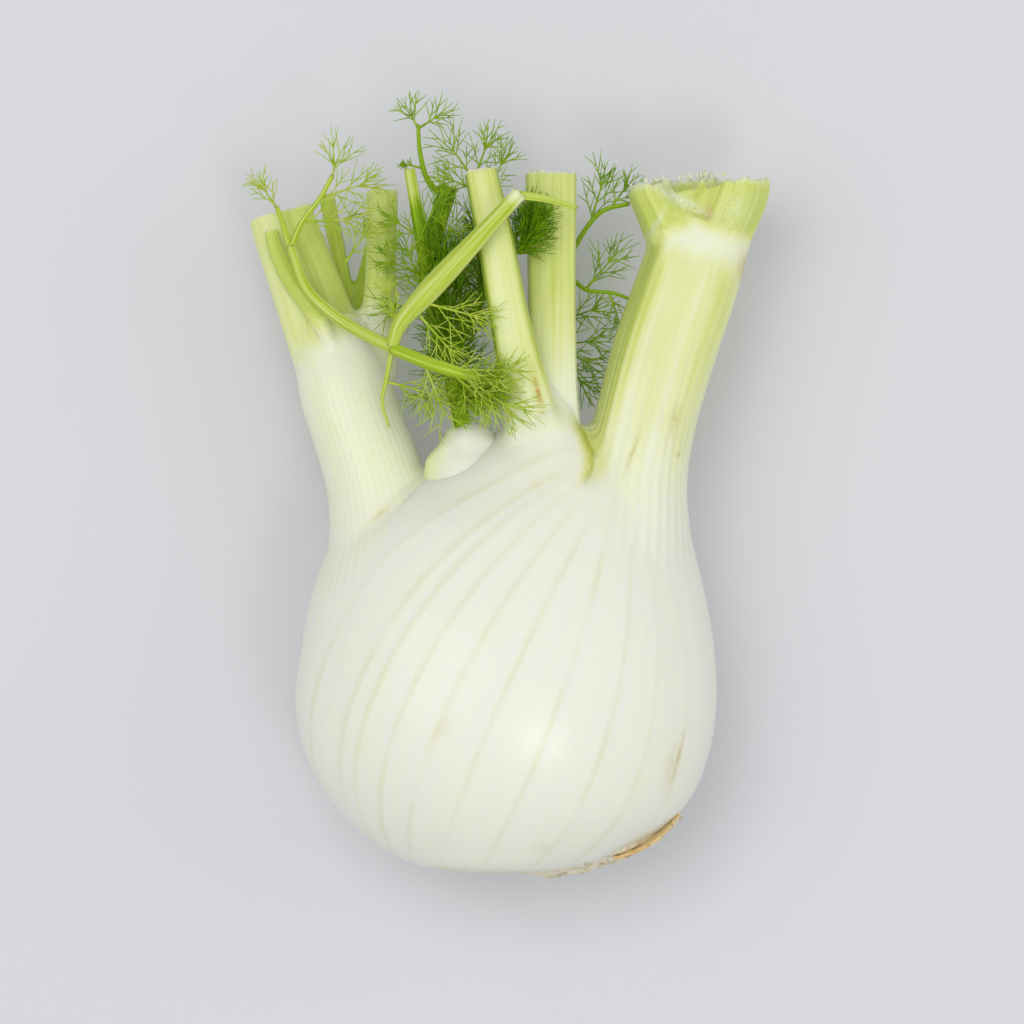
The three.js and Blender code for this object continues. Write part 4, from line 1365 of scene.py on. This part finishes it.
# %% Keeping threads out of the leaves
NEAR_SKIN = 12  # points farther than this from a leaf are outside it
leaf_trees = []
for piece in (outer_leaf, left_leaf, narrow_leaf, broad_leaf, heart_leaf):
    bm = bmesh.new()
    bm.from_mesh(piece.data)
    leaf_trees.append(BVHTree.FromBMesh(bm))
    bm.free()


def in_a_leaf(point):
    """True where a point lies under a leaf's skin."""
    for tree in leaf_trees:
        near, normal, _, _ = tree.find_nearest(Vector(point), NEAR_SKIN)
        if near is not None and (Vector(point) - near).dot(normal) < 0:
            return True
    return False


print("skins to keep clear of:", len(leaf_trees))

# %% [markdown]
# The three fronds are listed stem by stem, as they are in the frame: a path, and radii from foot to tip.
# Sprays have a start, an end and the reach of their threads, and plumes a start, an end, the radius of
# their core, how many leaflets the frame's has, and their reach. The order of the seeded draws is the
# frame's too, so that every twig's threads stand where the solid's leaflets do.

# %% The fronds' numbers
FRONT_STEMS = [
    ([[1, 62, 54], [-4, 64, 58], [-11, 66, 60], [-19, 68.6, 59.5], [-28, 72.3, 56.5]], [1.2, 1.5, 1.7, 1.6]),
    (
        [
            [-28, 72.5, 56.5], [-26, 78, 57.8], [-20, 84.8, 59.6],
            [-13, 92.2, 61.4], [-5, 100.8, 62.6], [3.5, 110, 63],
        ],  # fmt: skip
        [1.5, 2.2, 2.9, 2.8, 2.4, 2.1, 1.9],
    ),
    ([[-27, 72, 56.5], [-40, 79, 50.5], [-49, 87, 48.5], [-53.5, 98, 46]], [1.6, 1.5, 1.2]),
    ([[-28, 72, 56], [-29.4, 65, 54.5], [-30.5, 59, 54], [-28.8, 53, 54]], [0.7, 0.55, 0.35]),
    ([[-53.5, 97, 46], [-50.5, 104, 46], [-46, 110, 46], [-43, 115.5, 46]], [0.9, 0.6]),
    ([[-53.5, 97, 46], [-55.5, 104, 45], [-57, 108, 45]], [0.9, 0.6]),
    ([[3, 109.5, 63], [10, 108.5, 61.5], [17.5, 106.5, 58.5]], [1.1, 0.6]),
]
FRONT_SPRAYS = [
    ([-10, 65, 60.5], [0, 58, 62], 8),
    ([-12, 65, 60.5], [-5, 58.5, 60], 7),
    ([-14, 67, 60], [-1, 66.5, 62], 8),
    ([-20, 68.5, 59], [-15, 56, 58], 8),
    ([-29, 64, 54.5], [-18, 61, 56], 8),
    ([-19, 83, 60.5], [-8, 80, 61.5], 7),
    ([-21, 80, 59.5], [-14, 72, 60], 6),
    ([-56.6, 107, 45], [-60, 112, 45.5], 5),
    ([-50.5, 104, 46], [-40, 104.5, 47], 8),
    ([-46, 110, 46], [-36, 113, 47], 8),
    ([-43, 115.5, 46], [-42.5, 118, 46], 8),
    ([-40, 94, 44], [-35, 101, 46], 5),
    ([-26.5, 77, 57.5], [-29, 86, 58], 5),
]
FRONT_PLUMES = [([-14, 58.5, 54], [-3, 63, 58.5], 3, 22, 6)]
HEART_STEMS = [
    ([[-10, 50, 47], [-13, 64, 45], [-18, 82, 43], [-21, 100, 42], [-24, 117.5, 42]], [2.2, 2, 1.5]),
    ([[-17, 82, 43], [-18.5, 97, 40], [-14.5, 113, 37]], [2.2, 2.4, 2.5]),
    ([[-15, 110, 38], [-19.5, 115, 37], [-21.5, 122, 36], [-22, 129, 36]], [0.85, 0.5]),
    ([[-14, 70, 43.5], [-6, 86, 41], [-5, 102, 41], [-8, 116, 40]], [1.5, 1, 0.7]),
    ([[-6, 88, 41], [-1, 94, 45.5], [5, 98, 49]], [1.1, 0.9]),
]
HEART_SPRAYS = [
    ([-22, 128, 36], [-23.5, 131, 36], 6),
    ([-22, 128, 36], [-18, 130.5, 36.5], 6),
    ([-20.5, 118, 36.5], [-25, 119, 36], 2),
    ([-8, 115, 40], [-13, 122, 39], 7),
    ([-8, 115, 40], [-5, 123, 40], 7),
    ([-7, 112, 40], [-14, 115, 41], 6),
    ([-6, 108, 41], [-1, 119, 42], 6),
    ([-21, 100, 42], [-27, 104, 43], 6),
    ([-19, 90, 43], [-28, 94, 43], 7),
    ([-18, 84, 43], [-27, 83, 44], 7),
    ([-14, 70, 44.5], [-20, 61, 46], 6),
    ([-21, 101, 43.5], [-16, 111, 46], 6),
    ([-19, 90, 44.5], [-14, 101, 47], 7),
    ([-20, 85, 45], [-24, 96, 47], 6),
    ([-16, 76, 45.5], [-21, 87, 48], 6),
]
HEART_PLUMES = [
    ([-13, 64, 45], [-14.5, 96, 44], 2.6, 38, 8.5),
    ([-6, 78, 42], [-7, 104, 41.5], 1.6, 16, 7.5),
    ([3, 96, 48], [7, 105, 50], 1.5, 20, 7),
]
RIGHT_STEMS = [
    ([[9, 52, 30], [12, 72, 27], [14, 90, 27], [17.5, 99, 29], [24, 107.5, 31], [31, 109.5, 32]], [1.0, 0.6]),
    ([[15, 93, 27.5], [20, 88, 30], [27, 87, 32], [31, 85.5, 32]], [0.65, 0.45]),
]
RIGHT_SPRAYS = [
    ([21, 104, 30], [24, 114, 31], 7),
    ([26, 108, 31], [30, 113.5, 32], 5),
    ([20, 88, 30], [26, 95, 31], 7),
    ([26, 87, 32], [28, 81, 32], 5),
    ([13, 80, 27], [22, 83, 28], 6),
    ([12, 74, 27], [21, 75, 28], 8),
    ([12, 70, 27], [19, 65, 28], 8),
    ([12, 74, 27], [20, 70, 28], 7),
]
SPRAYS, PLUMES = FRONT_SPRAYS + HEART_SPRAYS + RIGHT_SPRAYS, FRONT_PLUMES + HEART_PLUMES
print("sprays and plumes:", len(SPRAYS), "and", len(PLUMES))

# %% [markdown]
# A frond is its stems, which are lofts like the stalks, and its threads. Two numbers are kept at every
# point: how green it is, and a place along the grain for a noise to vary it. The ends of the stems were cut
# days before, and have bleached.

# %% Making the fronds
# For each stem: how green it is, from which share of its length its end is bleached, and how flat it is.
FRONT_TONES = [
    (0.56, 1, 1), (0.42, 0.9, 1), (0.42, 1, 1), (0.42, 1, 1), (0.5, 1, 1), (0.5, 1, 1), (0.42, 1, 0.35),
]  # fmt: skip
HEART_TONES = [(0.75, 0.84, 1), (0.85, 1, 1), (0.7, 1, 1), (0.8, 1, 1), (0.8, 1, 1)]
RIGHT_TONES = [(0.72, 1, 1), (0.72, 1, 1)]
STEM_SIDES = 24
INNER_DRAWS = 1000  # added to a frond's seed for the draws that shape its single threads


def frond(name, seed, stems, sprays, plumes, tones, spray_green, plume_green):
    """One frond as a piece, with its stems first and its threads after them."""
    draws, inner = random_from(seed), random_from(seed + INNER_DRAWS)
    parts, green, grain = [], [], []
    for i, ((path, radius), (tone, bleached, flat)) in enumerate(zip(stems, tones)):
        stalk = Stalk(path, radius, [r * flat for r in radius], ridged(5, 0.08))
        rings = max(8, round(stalk.length))
        stem = tube_mesh(stalk, STEM_SIDES, rings, tip=cut_tip(seed + i, 0.4, 0.5), caps=(0, 0.6))
        share, turn, _ = stalk.locate(points_of(stem))
        grain.append(fibre_vector(turn, 0.05 * share * stalk.length + i, 3))
        green.append(tone + 0.08 * np.cos(5 * turn) - 0.4 * step(bleached, bleached + 0.08, share))
        parts.append(stem)
    airy = [t for s in sprays for t in spray(*s, draws, inner)]
    dense = [t for p in plumes for t in plume(*p, inner)]
    count = 0
    for threads, tone in ((airy, spray_green), (dense, plume_green)):
        clear = [t for t in threads if not any(in_a_leaf(point) for point in t[0][1:])]
        if clear:
            parts.append(threads_mesh(clear))
            grain.append(points_of(parts[-1]) * 0.3)
            green.append(np.full(len(parts[-1].vertices), tone))
            count += len(clear)
    mesh = joined(parts)
    keep(mesh, green=np.concatenate(green), grain=np.concatenate(grain))
    print(name, "has", count, "threads and", len(mesh.polygons), "faces")
    return as_object(mesh, name)


FRONT_FROND = FRONT_STEMS, FRONT_SPRAYS, FRONT_PLUMES, FRONT_TONES
HEART_FROND = HEART_STEMS, HEART_SPRAYS, HEART_PLUMES, HEART_TONES
RIGHT_FROND = RIGHT_STEMS, RIGHT_SPRAYS, [], RIGHT_TONES
front_frond = frond("front_frond_threads", 7, *FRONT_FROND, spray_green=0.5, plume_green=0.64)
heart_frond = frond("heart_frond_threads", 21, *HEART_FROND, spray_green=0.7, plume_green=0.87)
right_frond = frond("right_frond_threads", 46, *RIGHT_FROND, spray_green=0.76, plume_green=0.76)

# %% [markdown]
# A material is a tree of nodes. Nodes could be placed by hand in the editor, but a tree of forty is easier
# to read as a list, one line each: its kind, what feeds it, and its settings. Colours are written as they
# look on a screen, in hex, and turned to the linear values that the renderer works with.


# %% Colours and nodes
def colour(hexadecimal):
    """A linear colour from an sRGB hex value."""
    parts = [int(hexadecimal[i : i + 2], 16) / 255 for i in (1, 3, 5)]
    linear = [p / 12.92 if p <= 0.04045 else ((p + 0.055) / 1.055) ** 2.4 for p in parts]
    return (*linear, 1)


def add(tree, kind, sockets=(), ramp=None, **settings):
    """Adds a node. Sockets take a value, an output or a node's first output; a ramp is a list of stops."""
    node = tree.nodes.new("ShaderNode" + kind)
    for name, value in settings.items():
        setattr(node, name, value)
    for socket, value in dict(sockets).items():
        source = value.outputs[0] if isinstance(value, bpy.types.Node) else value
        if isinstance(source, bpy.types.NodeSocket):
            tree.links.new(source, node.inputs[socket])
        else:
            node.inputs[socket].default_value = source
    if ramp:
        stops = node.color_ramp.elements
        while len(stops) < len(ramp):
            stops.new(0.5)
        for stop, (share, tint) in zip(stops, ramp):
            stop.position, stop.color = share, colour(tint)
    return node


def kept_number(tree, name, output="Fac"):
    """What a mesh keeps at its points under a name, as a node's output."""
    return add(tree, "Attribute", attribute_name=name).outputs[output]


def spread(tree, value, low, high, least=0.3, most=0.7):
    """A noise that mostly lies from least to most, stretched to reach from low to high."""
    return add(tree, "MapRange", {0: value, 1: least, 2: most, 3: low, 4: high})


def mixed(tree, share, under, over):
    """One colour laid over another."""
    return add(tree, "Mix", {0: share, 6: under, 7: over}, data_type="RGBA").outputs[2]


def new_material(name):
    """An empty material and its tree."""
    material = bpy.data.materials.new(name)
    material.use_nodes = True
    material.node_tree.nodes.clear()
    return material, material.node_tree


def surfaced(tree, sockets):
    """Ends a tree with a surface."""
    surface = add(tree, "BsdfPrincipled", sockets)
    add(tree, "OutputMaterial", {"Surface": surface})


print("cream as linear light:", [round(part, 3) for part in colour("#edeee3")[:3]])

# %% [markdown]
# A fennel's skin is a thin clear layer of wax over pale, wet flesh. Its green lies in fine streaks along
# the fibres, on top of broader washes and faint clouds. The streaks are a noise that is squeezed across the
# fibres and drawn out along them, and they are stronger where the skin is greener.

# %% The skin's green
STALK_THICK, STREAK = 13, 1.1  # millimetres: a stalk, and one streak across it
SKIN_STOPS = [
    (0.0, "#edeee3"),
    (0.14, "#eff2d6"),
    (0.3, "#e9eeba"),
    (0.46, "#dfe797"),
    (0.62, "#ceda72"),
    (0.78, "#b6c84c"),
    (0.9, "#9fb834"),
    (1.0, "#7f9d1e"),
]


def along_fibres(tree, across, along):
    """A place for patterns, scaled across and along the fibres."""
    fibres = kept_number(tree, "fibres", "Vector")
    return add(tree, "VectorMath", {0: fibres, 1: (across, across, along)}, operation="MULTIPLY")


def plus_product(tree, a, b, base):
    """base + a * b, as a node."""
    return add(tree, "Math", {0: a, 1: b, 2: base}, operation="MULTIPLY_ADD")


def green_skin(tree, place):
    """The skin's colour before ribs, scars and tears, and the noise of its streaks."""
    green = kept_number(tree, "green")
    fine = along_fibres(tree, STALK_THICK / STREAK, 0.02)
    streaks = add(tree, "TexNoise", {"Vector": fine, "Scale": 1.0, "Detail": 3.0, "Roughness": 0.6})
    broad = add(tree, "TexNoise", {"Vector": along_fibres(tree, 2.5, 0.03), "Scale": 1.0, "Detail": 2.0})
    clouds = add(tree, "TexNoise", {"Vector": place, "Scale": 90.0, "Detail": 2.0})
    depth = add(tree, "MapRange", {0: green, 1: 0.0, 2: 0.5, 3: 0.055, 4: 0.17})
    streaked = plus_product(tree, spread(tree, streaks, -0.5, 0.5), depth, green)
    washed = plus_product(tree, spread(tree, broad, -0.35, 0.35), depth, streaked)
    tone = add(tree, "Math", {0: washed, 1: spread(tree, clouds, -0.02, 0.02)}, operation="ADD")
    return add(tree, "ValToRGB", {0: tone}, ramp=SKIN_STOPS), streaks


print("streaks are", STREAK, "mm across on a stalk", STALK_THICK, "mm thick")

# %% [markdown]
# The ribs are faint straw-coloured lines. The vector kept at the points gives how far the nearest one is,
# in millimetres, so each is a line with soft sides whatever the size of the mesh's cells. A large noise
# lets some stretches of them fade.

# %% The skin's ribs
RIB_SIDE = 1.4  # half the width of a rib's line, in millimetres
RIB_SHOWS = 0.42
RIB_STRAW = "#d9dcae"


def rib_lines(tree, place):
    """How strongly a rib shows at each place."""
    parts = add(tree, "SeparateXYZ", {0: kept_number(tree, "ribs", "Vector")}).outputs
    phase = add(tree, "Math", {0: parts[1], 1: parts[0]}, operation="ARCTAN2")
    turns = add(tree, "Math", {0: phase, 1: 1 / math.tau}, operation="MULTIPLY")
    from_rib = add(tree, "Math", {0: turns}, operation="ABSOLUTE")
    distance = add(tree, "Math", {0: from_rib, 1: parts[2]}, operation="MULTIPLY")
    falling = {0: distance, 1: 0.0, 2: RIB_SIDE, 3: RIB_SHOWS, 4: 0.0}
    line = add(tree, "MapRange", falling, interpolation_type="SMOOTHSTEP")
    flat = add(tree, "CombineXYZ", {0: parts[0], 1: parts[1]})
    strength = add(tree, "VectorMath", {0: flat}, operation="LENGTH").outputs["Value"]
    large = add(tree, "TexNoise", {"Vector": place, "Scale": 45.0, "Detail": 3.0})
    lined = add(tree, "Math", {0: line, 1: strength}, operation="MULTIPLY")
    return add(tree, "Math", {0: lined, 1: spread(tree, large, 0.2, 1.0, 0.38, 0.62)}, operation="MULTIPLY")


print("a rib's line is", 2 * RIB_SIDE, "mm wide")

# %% [markdown]
# Scars are olive where they are faint and brown where they are strong, and a fine noise breaks them up so
# that they end in specks. The crease's painted shade takes the same colours. Torn flesh shows its white
# fibres and a few brown ones.

# %% Scars and torn flesh
SCAR_AND_SHADE_STOPS = [(0.25, "#cabf55"), (0.95, "#c0913c")]
FLESH_STOPS = [(0.3, "#c7b277"), (0.4, "#d3d99a"), (0.52, "#f0f1e0"), (0.75, "#f8f8f0")]


def scarred_and_shaded(tree, place, under):
    """The scars and the crease's painted shade, laid over a colour."""
    specks = add(tree, "TexNoise", {"Vector": place, "Scale": 900.0, "Detail": 3.0})
    broken = spread(tree, specks, 0.55, 1.05, 0.35, 0.65)
    stain = kept_number(tree, "stain")
    scars = add(tree, "Math", {0: stain, 1: broken}, operation="MULTIPLY", use_clamp=True)
    return mixed(tree, scars, under, add(tree, "ValToRGB", {0: scars}, ramp=SCAR_AND_SHADE_STOPS))


def torn_flesh(tree, torn, under):
    """The torn flesh laid over a colour, and the noise of its fibres."""
    sockets = {"Vector": along_fibres(tree, 9, 0.6), "Scale": 1.6, "Detail": 4.0, "Roughness": 0.7}
    fray = add(tree, "TexNoise", sockets)
    return mixed(tree, torn, under, add(tree, "ValToRGB", {0: fray}, ramp=FLESH_STOPS)), fray


print("scar colours:", len(SCAR_AND_SHADE_STOPS), "and flesh colours:", len(FLESH_STOPS))

# %% [markdown]
# To the eye wax over wet flesh means two more things: a soft gloss that blurs what it mirrors, and light
# that sinks in a few millimetres and rounds every shadow. Light sinks less deep beside the seam, because
# there one leaf lies upon the other with a film of air between them. The streaks stand up a little, the
# ribs too, and torn flesh is rough. All leaf pieces share this one skin.


# %% The leaf skin
def bumped(tree, height, distance, under=None):
    """A normal bent by a pattern's height, in metres."""
    sockets = {"Height": height, "Distance": distance, "Strength": 0.5}
    return add(tree, "Bump", sockets | ({"Normal": under} if under else {}))


def leaf_skin():
    """Waxed fennel skin: white flesh to green, streaked along its fibres."""
    material, tree = new_material("waxed_fennel_skin")
    place = add(tree, "TexCoord").outputs["Object"]
    torn = kept_number(tree, "torn")
    skin, streaks = green_skin(tree, place)
    ribs = rib_lines(tree, place)
    veined = mixed(tree, ribs, skin, colour(RIB_STRAW))
    finished, fray = torn_flesh(tree, torn, scarred_and_shaded(tree, place, veined))
    torn_height = add(tree, "Math", {0: fray, 1: torn}, operation="MULTIPLY")
    relief = bumped(tree, torn_height, 0.0009, bumped(tree, ribs, 0.00006, bumped(tree, streaks, 0.00008)))
    surfaced(
        tree,
        {
            "Base Color": finished,
            "Roughness": add(tree, "MapRange", {0: torn, 1: 0.0, 2: 1.0, 3: 0.33, 4: 0.75}),
            "IOR": 1.42,
            "Subsurface Weight": kept_number(tree, "depth"),
            "Subsurface Radius": (1.0, 0.9, 0.45),
            "Subsurface Scale": 0.004,
            "Coat Weight": 0.35,
            "Coat Roughness": 0.22,
            "Normal": relief,
        },
    )
    return material


skin = leaf_skin()
print(skin.name, "has", len(skin.node_tree.nodes), "nodes")

# %% [markdown]
# The threads are too thin to show a pattern of their own. What the eye sees is that no two have quite the
# same green, that young tips are brighter, and that light shines through them a little.

# %% Frond green
FROND_STOPS = [
    (0.0, "#e8edc0"),
    (0.25, "#d3dd8a"),
    (0.45, "#bbcd4c"),
    (0.6, "#a0bd26"),
    (0.75, "#84aa0e"),
    (0.88, "#6d970a"),
    (1.0, "#4a7206"),
]


def frond_green():
    """Satin green of thin leaf threads and their stems."""
    material, tree = new_material("fennel_frond_green")
    grain = kept_number(tree, "grain", "Vector")
    patches = add(tree, "TexNoise", {"Vector": grain, "Scale": 1.0, "Detail": 3.0, "Roughness": 0.6})
    varied = {0: kept_number(tree, "green"), 1: spread(tree, patches, -0.16, 0.16)}
    tone = add(tree, "Math", varied, operation="ADD")
    surfaced(
        tree,
        {
            "Base Color": add(tree, "ValToRGB", {0: tone}, ramp=FROND_STOPS),
            "Roughness": 0.5,
            "Specular IOR Level": 0.25,
            "Subsurface Weight": 0.3,
            "Subsurface Radius": (0.6, 1.0, 0.2),
            "Subsurface Scale": 0.0006,
        },
    )
    return material


frond_skin = frond_green()
print(frond_skin.name, "has", len(frond_skin.node_tree.nodes), "nodes")

# %% [markdown]
# The cork of the root end and the dried scale are the same dead, dry stuff: cream to tan, without gloss,
# flecked with brown where air and mould got at it.

# %% Cork and dry scale
CORK_STOPS = [(0.3, "#d3c598"), (0.5, "#e9e3c9"), (0.7, "#f2eedd")]
PAPER_STOPS = [(0.3, "#c9a154"), (0.5, "#dfbe7a"), (0.7, "#efdfb4")]
FLECK_BROWN = "#8a5a2b"


def dry_tissue(name, stops, brown, grain):
    """Dead plant tissue: dry, flecked and slightly ridged."""
    material, tree = new_material(name)
    place = add(tree, "TexCoord").outputs["Object"]
    stretched = add(tree, "Mapping", {"Vector": place, "Scale": grain})
    clouds = add(tree, "TexNoise", {"Vector": stretched, "Scale": 260.0, "Detail": 5.0, "Roughness": 0.65})
    flecks = add(tree, "TexNoise", {"Vector": place, "Scale": 420.0, "Detail": 2.0})
    shown = spread(tree, flecks, 0.0, brown, 0.58, 0.68)
    flecked = mixed(tree, shown, add(tree, "ValToRGB", {0: clouds}, ramp=stops), colour(FLECK_BROWN))
    relief = add(tree, "Bump", {"Height": clouds, "Distance": 0.0006, "Strength": 0.7})
    surfaced(tree, {"Base Color": flecked, "Roughness": 0.8, "Normal": relief})
    return material


cork = dry_tissue("cut_root_cork", CORK_STOPS, 0.45, (1, 1, 1))
paper = dry_tissue("dried_leaf_scale", PAPER_STOPS, 0.35, (0.25, 0.25, 1.6))
print("made", cork.name, "and", paper.name)

# %% [markdown]
# The meshes were made in millimetres, because that is how a bulb is measured. Each is now brought to metres
# with its place kept in its mesh, so that its object stays at the origin, is hung under the root's body, is
# given its material, and hides the solid of the frame that it stands for.

# %% Into place
PIECES = [
    (outer_leaf, "outer_leaf", "outer_leaf", skin),
    (left_leaf, "left_leaf", "left_leaf", skin),
    (narrow_leaf, "narrow_leaf", "middle_leaf", skin),
    (broad_leaf, "broad_leaf", "middle_leaf", skin),
    (heart_leaf, "heart_leaf", "heart_leaf", skin),
    (root_plate, "root_plate", "root_plate", cork),
    (dry_scale, "dry_scale", "dry_scale", paper),
    (front_frond, "front_frond", "light_frond", frond_skin),
    (heart_frond, "heart_frond", "dark_frond", frond_skin),
    (right_frond, "right_frond", "dark_frond", frond_skin),
]
for piece, node, finish, material in PIECES:
    move_points(piece.data, points_of(piece.data) * MM)
    piece.data.shade_smooth()
    piece.data.materials.clear()
    piece.data.materials.append(material)
    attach(piece, "root")
    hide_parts(node)
print("pieces in place:", len(PIECES))

# %% [markdown]
# The bulb is looked at from straight above with a long lens, which keeps its outline true. The floor is a
# plain matt board.

# %% Camera and floor
FLOOR_HALF = 3  # metres
camera_data = bpy.data.cameras.new("camera")
camera_data.lens, camera_data.sensor_width = 154.7, 36
camera = as_object(camera_data, "camera")
camera.location = (0.0015, 0.032, 1.138)
bpy.context.scene.camera = camera

bm = bmesh.new()
bmesh.ops.create_grid(bm, x_segments=1, y_segments=1, size=FLOOR_HALF)
floor = as_object(mesh_of(bm, "floor"), "floor")
board, tree = new_material("matte_white_board")
surfaced(tree, {"Base Color": colour("#dcdde1"), "Roughness": 0.9, "Specular IOR Level": 0.2})
floor.data.materials.append(board)
print("the camera hangs", round(camera.location.z, 2), "m above the floor")

# %% [markdown]
# A white thing on a white board is shaped by its own soft shading, so the light comes from large boxes: one
# overhead that fills the gaps among the stalks, one at each side, and a small one whose mirror image is the
# single highlight. The overhead and the right-hand box are kept out of the gloss.


# %% Light
def softbox(name, place, target, size, watts, mirrored=True):
    """A square lamp with soft edges, at a place and aimed at a target in metres."""
    data = bpy.data.lights.new(name, "AREA")
    data.shape, data.size, data.energy = "SQUARE", size, watts
    lamp = as_object(data, name)
    lamp.location = place
    lamp.rotation_euler = (Vector(target) - Vector(place)).to_track_quat("-Z", "Y").to_euler()
    lamp.visible_camera, lamp.visible_glossy = False, mirrored
    return lamp


lamps = [
    softbox("overhead softbox", (-0.18, 0.26, 1.15), (0, 0.02, 0.03), 0.5, 3.1, mirrored=False),
    softbox("side softbox", (0.6, 0.12, 0.5), (0, 0.03, 0.03), 0.5, 0.7, mirrored=False),
    softbox("broad softbox", (-0.4, 0.06, 0.72), (0, 0.02, 0.03), 0.5, 0.85),
    softbox("small softbox", (0.24, -0.34, 0.95), (0, 0.0, 0.03), 0.25, 1.15),
]
world = bpy.data.worlds.new("studio")
world.use_nodes = True
background = world.node_tree.nodes["Background"].inputs
background["Color"].default_value, background["Strength"].default_value = colour("#f3f3f4"), 0.58
bpy.context.scene.world = world
bpy.context.scene.view_settings.view_transform = "Standard"
print("lamps:", len(lamps), "of", round(sum(lamp.data.energy for lamp in lamps), 2), "W in all")

# %% [markdown]
# Last, the view layer is brought up to date.

# %% Finish
bpy.context.view_layer.update()
